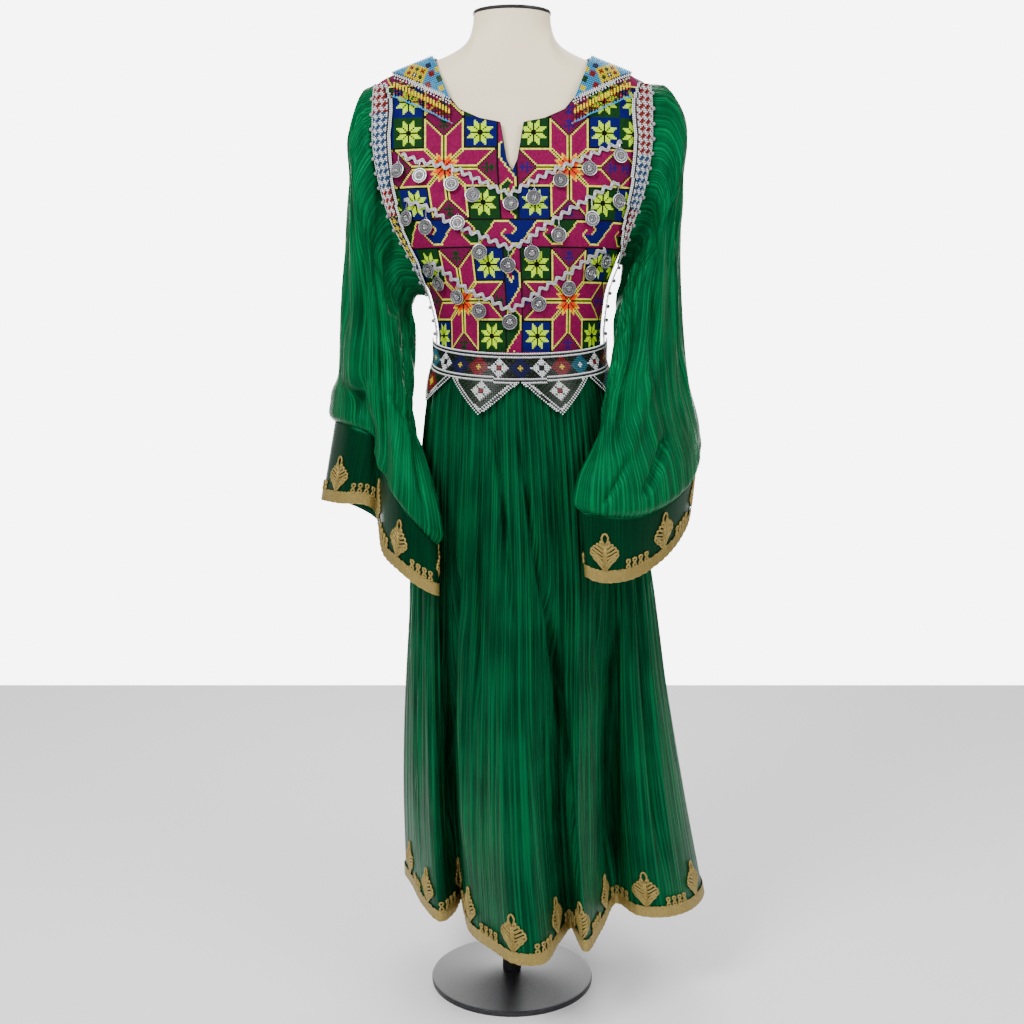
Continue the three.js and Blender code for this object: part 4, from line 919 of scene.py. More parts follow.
def buildYoke(side, hand):
    pitch = bead["pitch"]
    seamZ = lambda x: float(shoulderHeight(x)) - yoke["seamDrop"] - yoke["edge"]
    seam = [np.array([x, seamZ(x)]) for x in (yoke["neckX"], yoke["outerX"])]
    right = (seam[1] - seam[0]) / np.linalg.norm(seam[1] - seam[0])
    down = np.array([right[1], -right[0]])
    if down[1] > 0:
        down = -down
    i, j = np.meshgrid(np.arange(-16, 25), np.arange(0, 30))
    x = seam[0][0] + right[0] * (i + 0.5) * pitch + down[0] * j * pitch
    z = seam[0][1] + right[1] * (i + 0.5) * pitch + down[1] * j * pitch
    tip = np.array(yoke["tip"])

    def inside(a, b, margin):
        edge = (b - a) / np.linalg.norm(b - a)
        return (x - a[0]) * edge[1] - (z - a[1]) * edge[0] > margin

    corner = seam[1] + (0, yoke["edge"] - yoke["outerDrop"])
    keep = (inside(tip, seam[0] + (0, yoke["edge"]), 0.0008) & inside(corner, tip, yoke["edge"])
            & (x < yoke["outerX"]))
    middle = np.array(yoke["diamond"]) - seam[0]
    diamondI = round(float(middle @ right) / pitch)
    diamondJ = round(float(middle @ down) / pitch)
    a, b = i - diamondI, j - diamondJ
    marks = np.full(i.shape, "b")
    p, q = a + b, a - b
    isDiamond = (np.abs(p) <= 8) & (np.abs(q) <= 8)
    third = lambda value: np.clip(np.round(value / 5).astype(int) + 1, 0, 2)
    block = np.array([list(row) for row in yokeDiamond])[third(p), third(q)]
    marks[isDiamond] = block[isDiamond]
    onLine = lambda value: np.isin(np.abs(value), (2, 3, 7, 8))
    marks[isDiamond & (onLine(p) | onLine(q))] = "y"
    isCentre = (np.abs(p) <= 1) & (np.abs(q) <= 1)
    marks[isCentre] = np.where(p == 0, "w", "d")[isCentre]
    for da, db, mark in yoke["squares"]:
        marks[(np.abs(a - da) <= 1) & (np.abs(b - db) <= 1)] = mark
    lower = (x - tip[0]) * (corner[1] - tip[1]) - (z - tip[1]) * (corner[0] - tip[0])
    fromLower = lower / np.hypot(*(corner - tip)) / pitch
    isEdge = fromLower > -2.6
    marks[isEdge] = np.where((i + j) % 4 < 2, "d", "w")[isEdge]
    marks[fromLower > -1.2] = "w"
    marks[~keep] = "."
    centres = onTorso(hand * x, z, -1, np.full(x.shape, yoke["lift"]))
    outs = onTorsoOut(hand * x, z, -1)

    loose = []
    for k in range(fringe["strands"]):
        share = mix(fringe["from"], fringe["to"], (k + 0.5) / fringe["strands"])
        for n in range(fringe["beads"]):
            fx, fz = yokeLine(hand, share, fringe["top"] + fringe["step"] * (n + 0.5))
            loose.append((fx, fz, fringe["marks"][k % 4][n], n))
    strands = hangAt([(fx, fz) for fx, fz, _, _ in loose])
    isDrop = np.array([n in fringe["drops"] for *_, n in loose])
    sizes = np.where(isDrop[:, None], fringe["dropSize"], fringe["beadSize"])
    strandMarks = [mark for _, _, mark, _ in loose]
    chainDrop = lambda share: fringe["top"] + fringe["step"] * (fringe["beads"] + 0.1) + 0.0006 * math.sin(25 * share)
    chain = hangAt([yokeLine(hand, share, chainDrop(share)) for share in np.linspace(0.02, 0.97, fringe["chain"])])
    chainMarks = ["o" if n in (1, 36) else "b" for n in range(fringe["chain"])]
    name = side.capitalize()
    made = [beadPiece("yoke" + name, "yoke_beads", "yoke_" + side, [(centres, outs, marks)])]
    made.append(beadPiece("yokeFringe" + name, "fringe_beads", "yoke_fringe_" + side, [], [
        (*strands, sizes, strandMarks), (*chain, (0.0013, 0.0013, 0.0012), chainMarks),
    ]))
    return made


# Beaded bands round the armholes and down the sides, with silver balls on their outer edges
band = {
    "z": [1.003, 1.110, 1.180, 1.225, 1.300, 1.370, 1.410],
    "width": [0.022, 0.023, 0.027, 0.034, 0.038, 0.038, 0.025],
    "lift": {"left": 0.0025 + 0.0039, "right": 0.0025 + 0.0052}, "ball": 0.0032, "ballEvery": 0.020,
}
bandPatterns = {
    "left": [(1.36, "rw"), (1.255, "cw"), (1.215, "rw"), (1.15, "yd"), (0.9, "dw")],
    "right": [(1.30, "rw"), (1.225, "cw"), (1.16, "mw"), (0.9, "dw")],
}


houndstooth = np.array([list(row) for row in ("xx.x", "xxx.", ".x..", "x...")])


def buildBand(side, hand):
    pitch = bead["pitch"]
    z = np.linspace(1.011, 1.42, 400)
    edge = edgeX(z, hand)
    z = evenLine(np.stack([edge, z], 1)[::20], pitch)[0][:, 1]
    lines = walkLines(z)
    edgeWalk = np.abs([np.interp(value, lines[0], walked) for value, walked in zip(edgeX(z, hand), lines[1])])
    width = along(band, "z", z, "width")
    columns = 14
    distance = 0.0012 + pitch * (np.arange(columns) + 0.45)
    x = xAtWalk(z, hand * (edgeWalk[:, None] - distance[None, :]))
    z = np.broadcast_to(z[:, None], x.shape)
    keep = (distance[None, :] < width[:, None] - 0.0008) & (z < shoulderHeight(x) - 0.0028)
    count = keep.sum(1)[:, None]
    row, column = np.meshgrid(np.arange(len(x)), np.arange(columns), indexing="ij")
    fromInner = count - 1 - column
    marks = np.full(x.shape, "w")
    isTooth = houndstooth[row % 4, -hand * column % 4] == "x"
    for lowest, pair in bandPatterns[side][::-1]:
        marks = np.where(z >= lowest, np.where(isTooth, pair[0], pair[1]), marks)
    marks[fromInner <= 1] = "w"
    marks[(fromInner == 2)] = "k"
    marks[column == 0] = "w"
    marks[~keep] = "."
    lift = band["lift"][side]
    centres = onTorso(x, z, -1, np.full(x.shape, lift))
    outs = onTorsoOut(x, z, -1)
    balls = np.arange(4, len(x) - 3, round(band["ballEvery"] / pitch))
    ballCentres = centres[balls, 0] + outs[balls, 0] * 0.0022
    ballOuts = outs[balls, 0]
    size = band["ball"]
    return beadPiece("armholeBand" + side.capitalize(), "band_beads", "armhole_band_" + side, [(centres, outs, marks)],
                     [(ballCentres, ballOuts, (size, size, size * 0.9), ["s"] * len(balls))])


# The belt: black bead net with diamonds, white double borders and four hanging points
belt = {
    "topMiddle": 1.015, "topSide": 1.036, "bottomMiddle": 0.972, "bottomSide": 0.996, "flare": 0.3, "raise": 0.0115,
    "points": [(-0.78, 0.048), (-0.26, 0.050), (0.26, 0.050), (0.78, 0.048)], "half": 0.255, "end": 1.01,
    "diamonds": ["wk", "ty", "wk", "dy", "my", "wr", "dy", "wk", "my", "tw", "wr", "my"],
    "period": 12, "rows": 37, "diamondRow": 8, "diamondReach": 6, "flowerRow": 5,
}


def onWaist(turn, z, lift):
    height = np.maximum(z, garment["waist"])
    angle = np.pi / 2 * turn
    flare = np.maximum(0, garment["waist"] - z) * belt["flare"]
    wide, deep = torsoAt(height, "halfWidth") + lift, torsoAt(height, "front") + lift
    return np.stack([torsoAt(height, "shift") + (wide + flare) * np.sin(angle), -(deep + flare) * np.cos(angle), z], -1)


def buildBelt():
    pitch = bead["pitch"]
    turns = np.linspace(-belt["end"], belt["end"], 2000)
    path = onWaist(turns, np.full(2000, 0.995), belt["raise"])
    walked = np.concatenate([[0], np.cumsum(np.linalg.norm(np.diff(path, axis=0), axis=1))])
    columns = 2 * round(walked[-1] / pitch / 2) + 1
    turn = np.interp(np.linspace(0, walked[-1], columns), walked, turns)
    bend = turn**2
    top, bottom = mix(belt["topMiddle"], belt["topSide"], bend), mix(belt["bottomMiddle"], belt["bottomSide"], bend)
    reach = np.max([most * (1 - np.abs(turn - at) / belt["half"]) for at, most in belt["points"]], axis=0)
    reach = np.maximum(reach, 0.0008)
    j, i = np.meshgrid(np.arange(belt["rows"]), np.arange(columns) - columns // 2, indexing="ij")
    z = top[None, :] - pitch * (j + 0.5)
    bodyRows = np.round((top - bottom) / pitch)[None, :]
    keep = z > (bottom - reach)[None, :] + pitch * 0.4
    turnGrid = np.broadcast_to(turn[None, :], z.shape)
    centres = onWaist(turnGrid, z, belt["raise"])
    outs = unit(onWaist(turnGrid, z, belt["raise"] + 0.001) - centres)
    marks = np.full(z.shape, "k")
    index = np.floor(i / belt["period"] + 0.5).astype(int)
    across = np.abs(i - index * belt["period"])
    down = np.abs(j - belt["diamondRow"])
    size = across + down
    for number, (outer, inner) in enumerate(belt["diamonds"]):
        here = index == number - 6
        marks[here & (size <= belt["diamondReach"])] = outer
        if outer == "w":
            marks[here & (across == down) & (across > 0)] = "k"
            marks[here & (size == belt["diamondReach"]) & (np.minimum(across, down) > 0)] = "k"
        marks[here & (size <= 1)] = inner
    marks[(size == 8) & (i % 2 == 0)] = "g"
    marks[(j == 0) | (j == 2)] = "w"
    marks[j == 1] = "k"
    marks[(j == bodyRows - 1) | (j == bodyRows - 3)] = "w"
    marks[j == bodyRows - 2] = "k"
    below = j >= bodyRows
    for number, (at, most) in enumerate(belt["points"]):
        near = np.abs(turnGrid - at) < belt["half"]
        centreI = np.interp(at, turn, i[0])
        dx, dy = np.abs(np.round(i - centreI)), np.abs(j - bodyRows - belt["flowerRow"])
        petals = np.minimum(np.abs(dx - 3) + dy, dx + np.abs(dy - 3)) <= 2
        marks[near & below & ((i + j) % 3 == 0)] = "g"
        if number in (1, 2):
            marks[near & below & petals] = "w"
            marks[near & below & (dx + dy <= 1)] = "r"
        else:
            marks[near & below & (dx + dy <= 6)] = "m" if number == 0 else "t"
            marks[near & below & (dx + dy <= 2)] = "y"
        edgeGap = (z - (bottom - reach)[None, :]) / pitch
        marks[near & below & (edgeGap < 4.2)] = "w"
        marks[near & below & (edgeGap < 2.9) & (edgeGap > 1.6)] = "k"
    marks[~keep] = "."
    return beadPiece("waistBelt", "belt_beads", "belt", [(centres, outs, marks)])


for side, hand in (("left", -1), ("right", 1)):
    frontTrims.extend(buildYoke(side, hand))
    frontTrims.append(buildBand(side, hand))
frontTrims.append(buildBelt())
print("beadwork made")

# Silver ric-rac in three swags, and the coins that hang from them
swags = {
    "upper": {
        "line": [(-0.158, 1.297), (-0.130, 1.287), (-0.086, 1.277), (-0.043, 1.257), (-0.004, 1.241), (0.022, 1.254),
                 (0.056, 1.271), (0.088, 1.285), (0.128, 1.303), (0.157, 1.315)],
        "coins": [(-0.162, 1.276), (-0.131, 1.267), (-0.086, 1.254), (-0.056, 1.238), (-0.002, 1.226), (0.031, 1.234),
                  (0.069, 1.259), (0.110, 1.276), (0.154, 1.296)],
    },
    "middle": {
        "line": [(-0.153, 1.234), (-0.114, 1.219), (-0.092, 1.203), (-0.044, 1.182), (-0.004, 1.166), (0.013, 1.171),
                 (0.049, 1.197), (0.076, 1.214), (0.103, 1.231), (0.134, 1.250), (0.152, 1.259)],
        "coins": [(-0.149, 1.210), (-0.122, 1.196), (-0.077, 1.200), (-0.046, 1.160), (-0.006, 1.141), (0.028, 1.158),
                  (0.066, 1.183), (0.113, 1.207), (0.151, 1.233)],
    },
    "lower": {
        "line": [(-0.116, 1.146), (-0.091, 1.130), (-0.063, 1.107), (-0.032, 1.093), (-0.003, 1.079), (0.022, 1.093),
                 (0.050, 1.112), (0.078, 1.129), (0.106, 1.149), (0.132, 1.167)],
        "coins": [(-0.118, 1.137), (-0.104, 1.118), (-0.077, 1.097), (-0.046, 1.077), (-0.003, 1.061), (0.038, 1.087),
                  (0.080, 1.109), (0.111, 1.132), (0.133, 1.149)],
    },
}
ricRac = {"halfWave": 0.007, "swing": 0.003, "cord": 0.00108, "apart": 0.0018, "lift": 0.0025 + 0.0022, "steps": 6}


silverThread = grainMaterial("silver metallic braid", (0.20, 0.20, 0.22), (0.62, 0.62, 0.65), 1500.0, 0.36, 0.0004,
                             0.55, 0.5)
coinSilver = grainMaterial("stamped silver", (0.32, 0.32, 0.33), (0.56, 0.56, 0.58), 110.0, 0.30, 0.0004, 1.0, 0.5)
# The coins' sunk faces get a dark silver: painted shade in the hollows, together with tarnish
coinRecessShadeAndTarnish = grainMaterial("recess painted shade and tarnish", (0.05, 0.05, 0.052), (0.11, 0.11, 0.115), 300.0, 0.45, 0.0002, 0.8, 0.5)
goldCord = grainMaterial("antique gold cord", (0.10, 0.065, 0.010), (0.46, 0.34, 0.095), 1100.0, 0.45, 0.0009, 0.4, 0.5)


def buildRicRac(name, line):
    places, at = evenLine(line, ricRac["halfWave"] / ricRac["steps"])
    way = unit(np.gradient(places, axis=0))
    up = np.stack([-way[:, 1], way[:, 0]], 1)
    phase = np.pi * at / ricRac["halfWave"]
    wave = ricRac["swing"] * 0.9 * np.sin(phase)
    cords = []
    for k in (-1, 0, 1):
        spot = places + up * (wave + k * ricRac["apart"])[:, None]
        lift = ricRac["lift"] + 0.0004 * np.cos(phase * 2 + k * 2.1)
        path = onTorso(spot[:, 0], spot[:, 1], -1, lift)
        cords.append(cordRings(path, onTorsoOut(spot[:, 0], spot[:, 1], -1), ricRac["cord"], 5))
    title = "ricRac" + name.capitalize()
    return addPiece(title, cordMesh(title, cords), silverThread, "silver_braid", "ric_rac_" + name)


# One coin with a raised rim, a ring of dots, a rosette and a wire ring at its top
coin = {
    "radius": 0.011, "thickness": 0.0009, "lift": 0.0025 + 0.0045, "bandLift": 0.0025 + 0.0058,
    "steps": [(0.0003, 0.0002), (0.0007, 0), (0.0003, -0.0005), (0.0024, 0), (0.0003, 0.0005), (0.0004, 0),
              (0.0003, -0.0005)],
    "dots": (18, 0.0082, (0.0006, 0.0006, 0.0006), 0), "petals": (8, 0.0029, (0.0018, 0.0008, 0.0008), 1),
    "wire": 0.0019, "wireThickness": 0.00038, "link": 0.00042,
}


def takeMesh(piece):
    place = piece.matrix_world
    points = np.array([tuple(place @ vertex.co) for vertex in piece.data.vertices])
    faces = [tuple(face.vertices) for face in piece.data.polygons]
    bpy.data.objects.remove(piece)
    return points, faces


def coinModel():
    deselectAll()
    bpy.ops.mesh.primitive_cylinder_add(vertices=36, radius=coin["radius"], depth=coin["thickness"])
    disc = bpy.context.object
    bpy.ops.object.mode_set(mode="EDIT")
    bpy.ops.mesh.select_mode(type="FACE")
    bpy.ops.mesh.select_all(action="DESELECT")
    bpy.ops.object.mode_set(mode="OBJECT")
    for face in disc.data.polygons:
        face.select = face.normal.z > 0.9
    bpy.ops.object.mode_set(mode="EDIT")
    for inset, lift in coin["steps"]:
        bpy.ops.mesh.inset(thickness=inset)
        bpy.ops.transform.translate(value=(0, 0, lift))
    bpy.ops.mesh.select_all(action="DESELECT")
    bpy.ops.object.mode_set(mode="OBJECT")
    parts = [disc]
    top = coin["thickness"] / 2

    def addDot(x, y, size, turn=0.0):
        deselectAll()
        bpy.ops.mesh.primitive_ico_sphere_add(subdivisions=1, radius=1, location=(x, y, top), rotation=(0, 0, turn))
        bpy.context.object.scale = size
        parts.append(bpy.context.object)

    for count, reach, size, isTurned in (coin["dots"], coin["petals"]):
        for k in range(count):
            angle = 2 * math.pi * k / count
            addDot(reach * math.cos(angle), reach * math.sin(angle), size, angle * isTurned)
    addDot(0, 0, (0.0010, 0.0010, 0.0007))
    deselectAll()
    bpy.ops.mesh.primitive_torus_add(major_radius=coin["wire"], minor_radius=coin["wireThickness"], major_segments=14,
                                     minor_segments=5, location=(0, coin["radius"] + 0.0009, 0))
    bpy.context.view_layer.update()
    wire = takeMesh(bpy.context.object)
    deselectAll()
    for part in parts:
        part.select_set(True)
    bpy.context.view_layer.objects.active = disc
    bpy.ops.object.join()
    bpy.ops.object.transform_apply(location=True, rotation=True, scale=True)
    # Faces sunk below the coin's top: these take the dark recess silver, painted shade with tarnish
    low = [face.normal.z > 0.9 and face.center.z < top - 0.0001 for face in disc.data.polygons]
    deselectAll()
    return takeMesh(disc), wire, low


coinDisc, coinWire, coinRecess = coinModel()


def buildCoin(name, number, place, line):
    x, z = place
    xs, zs = zip(*line)
    tipZ = float(np.interp(x, xs, zs))
    onBand = number == 1 and name != "lower"
    one = lambda value: np.array([value])
    at = onTorso(one(x), one(z), -1, one(coin["bandLift" if onBand else "lift"]))[0]
    out = onTorsoOut(one(x), one(z), -1)[0]
    tip = onTorso(one(x), one(max(tipZ, z + 0.012)), -1, one(ricRac["lift"]))[0]
    up = unit(tip - at)
    side = unit(np.cross(up, out))
    out = np.cross(side, up)
    lean = 0.10 * math.sin(7.3 * number + 2.1 * len(name) + 40 * x)
    side, up = side * math.cos(lean) + up * math.sin(lean), up * math.cos(lean) - side * math.sin(lean)
    turn = 2.4 * number
    disc = coinDisc[0]
    spun = np.stack([disc[:, 0] * math.cos(turn) - disc[:, 1] * math.sin(turn),
                     disc[:, 0] * math.sin(turn) + disc[:, 1] * math.cos(turn), disc[:, 2]], 1)
    body = np.concatenate([spun, coinWire[0]])
    world = at + body[:, :1] * side + body[:, 1:2] * up + body[:, 2:] * out
    title = "coin" + name.capitalize() + str(number)
    points = [world]
    faces = coinDisc[1] + [tuple(len(disc) + corner for corner in face) for face in coinWire[1]]
    ringTop = at + up * (coin["radius"] + 0.0024)
    reach = tip + (0, 0, 0.0006)
    if np.linalg.norm(reach - ringTop) > 0.0012:
        for k in (-1, 1):
            spots = np.stack([ringTop - up * 0.0006, mix(ringTop, reach, 0.5) + side * 0.0006 * k, reach])
            rings = cordRings(spots, np.tile(out, (3, 1)), coin["link"], 5)
            faces.extend((gridFaces(3, 5, True) + sum(len(part) for part in points)).tolist())
            points.append(rings.reshape(-1, 3))
    mesh = newMesh(title, np.concatenate(points), faces)
    piece = addPiece(title, mesh, coinSilver, "coin", "coin_" + name + "_" + str(number))
    # Sunk faces get the dark recess silver: painted shade in the hollows, with tarnish
    mesh.materials.append(coinRecessShadeAndTarnish)
    mesh.polygons.foreach_set("material_index", np.array(coinRecess + [False] * (len(faces) - len(coinRecess)), int))
    deselectAll()
    bpy.context.view_layer.objects.active = piece
    piece.select_set(True)
    bpy.ops.object.shade_smooth_by_angle(angle=math.radians(35))
    deselectAll()
    return piece


for name, swag in swags.items():
    frontTrims.append(buildRicRac(name, swag["line"]))
    for number, place in enumerate(swag["coins"], 1):
        frontTrims.append(buildCoin(name, number, place, swag["line"]))
print("ric-rac and coins made")

# Skirt: sections from the waist to the hem, and the hem's folds seen from above
skirt = {
    "t": [0, 0.05, 0.17, 0.36, 0.58, 0.8, 1],
    "z": [1.0028, 0.960, 0.858, 0.692, 0.502, 0.320, 0.148],
    "halfWidth": [0.1285, 0.138, 0.156, 0.184, 0.206, 0.226, 0.242],
    "front": [0.097, 0.106, 0.122, 0.140, 0.156, 0.164, 0.168],
    "back": [0.093, 0.104, 0.124, 0.148, 0.166, 0.176, 0.182],
    "shift": [0.012, 0.013, 0.019, 0.029, 0.037, 0.050, 0.068],
    "folds": [0, 0.01, 0.08, 0.29, 0.56, 0.82, 1],
    "gather": [0.0026, 0.0034, 0.0040, 0.0042, 0.0039, 0.0030, 0.0008],
    "columns": 276, "rows": 92, "gathers": 44, "wall": 0.0012,
}
# Left side, round the front to the right side (the 20th), then round the back
hem = np.array([
    (-0.176, 0.060, 0.155), (-0.160, 0.000, 0.158), (-0.138, -0.068, 0.154), (-0.111, -0.112, 0.148),
    (-0.092, -0.092, 0.152), (-0.080, -0.052, 0.158), (-0.072, -0.100, 0.155), (-0.060, -0.156, 0.149),
    (-0.026, -0.202, 0.144), (0.006, -0.234, 0.139), (0.046, -0.232, 0.139), (0.068, -0.176, 0.143),
    (0.091, -0.136, 0.148), (0.109, -0.194, 0.138), (0.134, -0.132, 0.143), (0.162, -0.068, 0.157),
    (0.196, -0.098, 0.151), (0.242, -0.098, 0.149), (0.284, -0.062, 0.147), (0.309, 0.000, 0.146),
    (0.298, 0.058, 0.149), (0.262, 0.084, 0.152), (0.244, 0.140, 0.147), (0.206, 0.184, 0.145),
    (0.176, 0.128, 0.151), (0.146, 0.152, 0.148), (0.116, 0.216, 0.143), (0.076, 0.226, 0.143),
    (0.056, 0.152, 0.150), (0.024, 0.148, 0.150), (0.000, 0.212, 0.144), (-0.040, 0.232, 0.143),
    (-0.068, 0.170, 0.149), (-0.092, 0.136, 0.151), (-0.118, 0.196, 0.146), (-0.152, 0.168, 0.148),
    (-0.164, 0.112, 0.152),
])
rightSeamPoint = 19


# A smooth closed curve through points, as many short steps, with the length walked at each
def closedCurve(points, steps=2000):
    count = len(points)
    at = np.arange(steps + 1) / steps * count
    i = np.floor(at).astype(int)
    t = (at - i)[:, None]
    p0, p1, p2, p3 = (points[(i + k) % count] for k in (-1, 0, 1, 2))
    m1, m2 = (p2 - p0) / 2, (p3 - p1) / 2
    line = ((2 * t**3 - 3 * t**2 + 1) * p1 + (t**3 - 2 * t**2 + t) * m1
            + (3 * t**2 - 2 * t**3) * p2 + (t**3 - t**2) * m2)
    walked = np.concatenate([[0], np.cumsum(np.linalg.norm(np.diff(line, axis=0), axis=1))])
    return line, walked / walked[-1]


def atShare(curve, share):
    line, walked = curve
    share = np.mod(share, 1)
    return np.stack([np.interp(share, walked, line[:, k]) for k in range(3)], -1)


hemCurve = closedCurve(hem)
rightSeam = hemCurve[1][round(rightSeamPoint / len(hem) * 2000)]


# Turn 0 to 1 runs over the front from the left seam, and 1 to 2 over the back
def skirtBase(turn, t):
    turn, t = np.broadcast_arrays(np.mod(turn, 2), np.asarray(t, float))
    share = np.where(turn < 1, turn * rightSeam, mix(rightSeam, 1, turn - 1))
    angle = np.pi * turn

    def ring(at):
        value = lambda column: along(skirt, "t", at, column)
        deep = np.where(turn < 1, value("front"), value("back"))
        return np.stack([value("shift") - value("halfWidth") * np.cos(angle), -deep * np.sin(angle),
                         np.broadcast_to(value("z"), angle.shape)], -1)

    fold = atShare(hemCurve, share) - ring(np.ones_like(t))
    return ring(t) + fold * along(skirt, "t", t, "folds")[..., None]


def skirtOut(turn, t):
    probe = 0.022
    across = skirtBase(turn + probe, t) - skirtBase(turn - probe, t)
    return unit(np.stack([across[..., 1], -across[..., 0], np.zeros(across.shape[:-1])], -1))


# Long folds of the skirt, from turn and height to turn and height, where the front's deepest shadows fall
skirtFolds = [
    (0.296, 0.33, 0.212, 0.95, 0.012, -0.026, 0.004),
    (0.404, 0.10, 0.466, 0.46, 0.009, -0.013, 0.006),
    (0.482, 0.12, 0.552, 0.45, 0.008, -0.013, 0.000),
    (0.545, 0.34, 0.652, 0.93, 0.011, -0.024, 0.010),
    (0.815, 0.44, 0.786, 0.97, 0.012, -0.024, 0.000),
    (0.186, 0.16, 0.228, 0.66, 0.009, -0.013, 0.004),
    (0.888, 0.30, 0.886, 0.95, 0.009, -0.015, 0.000),
    (0.360, 0.08, 0.384, 0.62, 0.007, -0.011, -0.004),
    (0.706, 0.13, 0.752, 0.60, 0.008, -0.012, 0.000),
    (0.120, 0.22, 0.100, 0.85, 0.009, -0.015, 0.000),
    (0.330, 0.40, 0.345, 0.92, 0.020, 0.006, 0.000),
    (0.700, 0.50, 0.715, 0.93, 0.018, 0.006, 0.000),
]


# Gathers: rounded crests and sharp valleys, uneven in place, depth and length
def skirtRelief(turn, t):
    wander = 0.34 * unevenness(turn * 9, t * 2.2, 21) + 0.8 * unevenness(turn * 3.1, t * 1.3, 22)
    phase = np.pi * (skirt["gathers"] * turn + wander * (0.5 + t))
    crest = np.abs(np.cos(phase)) ** 0.8
    uneven = 0.72 + 0.5 * unevenness(turn * skirt["gathers"] * 0.93, t * 3, 23)
    fine = 0.28 * np.cos(2 * np.pi * (skirt["gathers"] * 1.87 * turn + 1.1 * unevenness(turn * 7, t * 2, 24)))
    lasting = 1 - 0.75 * ease((t - 0.35 - 0.4 * unevenness(turn * 19, 0.5 + 0 * t, 25)) / 0.5)
    soft = 0.9 * unevenness(turn * 15, t * 1.6, 26) * ease((t - 0.1) / 0.4)
    height = (2 * crest - 1.1) * uneven * lasting + fine * (0.4 + 0.6 * lasting) + soft
    onFront = np.where(turn < 1, turn, 1.96 - turn * 0.98)
    relief = along(skirt, "t", t, "gather") * height + laidCreases(onFront, t, skirtFolds)
    return relief * ease(np.abs(turn - np.round(turn)) / 0.015)


def skirtSurface(turn, t, lift=0.0):
    points = skirtBase(turn, t)
    height = skirtRelief(turn, t)
    return points + skirtOut(turn, t) * (height + lift)[..., None]


def skirtRows():
    return np.concatenate([np.linspace(0, 0.08, 14)[:-1], np.linspace(0.08, 0.9, 62)[:-1], np.linspace(0.9, 1, 18)])


def buildSkirt():
    for name, node, first in [("skirtFront", "skirt_front", 0), ("skirtBack", "skirt_back", 1)]:
        turn = first + np.linspace(0, 1, skirt["columns"])
        points = skirtSurface(turn[None, ::-1], skirtRows()[:, None])
        # The skirt wears the darker copy of the silk: painted shade
        panel = clothPiece(name, points, skirt["wall"], skirtSilkPaintedShade, "silk", node)


buildSkirt()
print("skirt made")

# Sleeves: outer and inner points of each section, its fullness to front and back, and its bow
sleeves = {
    "left": {
        "hand": -1,
        "sections": [
            (-0.214, 0, 1.403, -0.139, 0, 1.101, 0.050, 0.050, 0.020),
            (-0.232, 0, 1.362, -0.150, 0, 1.090, 0.063, 0.061, 0.022),
            (-0.244, 0, 1.258, -0.149, -0.006, 1.052, 0.071, 0.068, 0.012),
            (-0.255, 0.002, 1.120, -0.146, -0.024, 0.992, 0.070, 0.062, 0.002),
            (-0.266, 0.004, 0.985, -0.136, -0.072, 0.895, 0.062, 0.046, 0),
        ],
        "join": [
            (-0.274, 0.008, 0.906), (-0.250, -0.036, 0.904), (-0.214, -0.050, 0.892), (-0.200, -0.046, 0.872),
            (-0.193, -0.086, 0.842), (-0.166, -0.130, 0.800), (-0.136, -0.144, 0.764), (-0.109, -0.130, 0.734),
            (-0.118, -0.104, 0.746), (-0.142, -0.066, 0.772), (-0.162, -0.020, 0.802), (-0.178, 0.036, 0.832),
            (-0.214, 0.058, 0.866), (-0.256, 0.044, 0.896),
        ],
        "hem": [
            (-0.296, 0.010, 0.786), (-0.262, -0.042, 0.787), (-0.220, -0.056, 0.786), (-0.204, -0.050, 0.764),
            (-0.192, -0.094, 0.720), (-0.164, -0.138, 0.700), (-0.136, -0.152, 0.680), (-0.109, -0.142, 0.664),
            (-0.119, -0.114, 0.672), (-0.148, -0.076, 0.686), (-0.172, -0.026, 0.700), (-0.188, 0.036, 0.722),
            (-0.228, 0.062, 0.756), (-0.276, 0.048, 0.780),
        ],
    },
    "right": {
        "hand": 1,
        "sections": [
            (0.222, 0, 1.407, 0.168, 0, 1.147, 0.050, 0.050, 0.020),
            (0.249, 0, 1.372, 0.168, 0, 1.126, 0.063, 0.061, 0.018),
            (0.253, 0, 1.262, 0.158, -0.016, 1.082, 0.071, 0.066, 0.008),
            (0.258, 0, 1.110, 0.148, -0.058, 1.006, 0.066, 0.054, 0),
            (0.271, 0, 0.970, 0.126, -0.110, 0.900, 0.060, 0.028, 0),
        ],
        "join": [
            (0.281, 0.004, 0.866), (0.272, -0.052, 0.826), (0.236, -0.108, 0.796), (0.186, -0.148, 0.780),
            (0.134, -0.168, 0.783), (0.098, -0.160, 0.789), (0.108, -0.136, 0.790), (0.148, -0.114, 0.794),
            (0.182, -0.082, 0.800), (0.206, -0.034, 0.808), (0.214, 0.016, 0.818), (0.256, 0.042, 0.846),
        ],
        "hem": [
            (0.276, 0.004, 0.796), (0.266, -0.050, 0.756), (0.230, -0.106, 0.718), (0.180, -0.146, 0.692),
            (0.134, -0.167, 0.688), (0.108, -0.160, 0.696), (0.116, -0.138, 0.700), (0.152, -0.122, 0.700),
            (0.190, -0.090, 0.706), (0.216, -0.042, 0.716), (0.224, 0.014, 0.730), (0.258, 0.042, 0.766),
        ],
    },
    "keyColumns": 36, "columns": 240, "rows": 84, "wall": 0.0012, "armholeGap": 0.0021,
    "cuffColumns": 216, "cuffRows": 14,
}


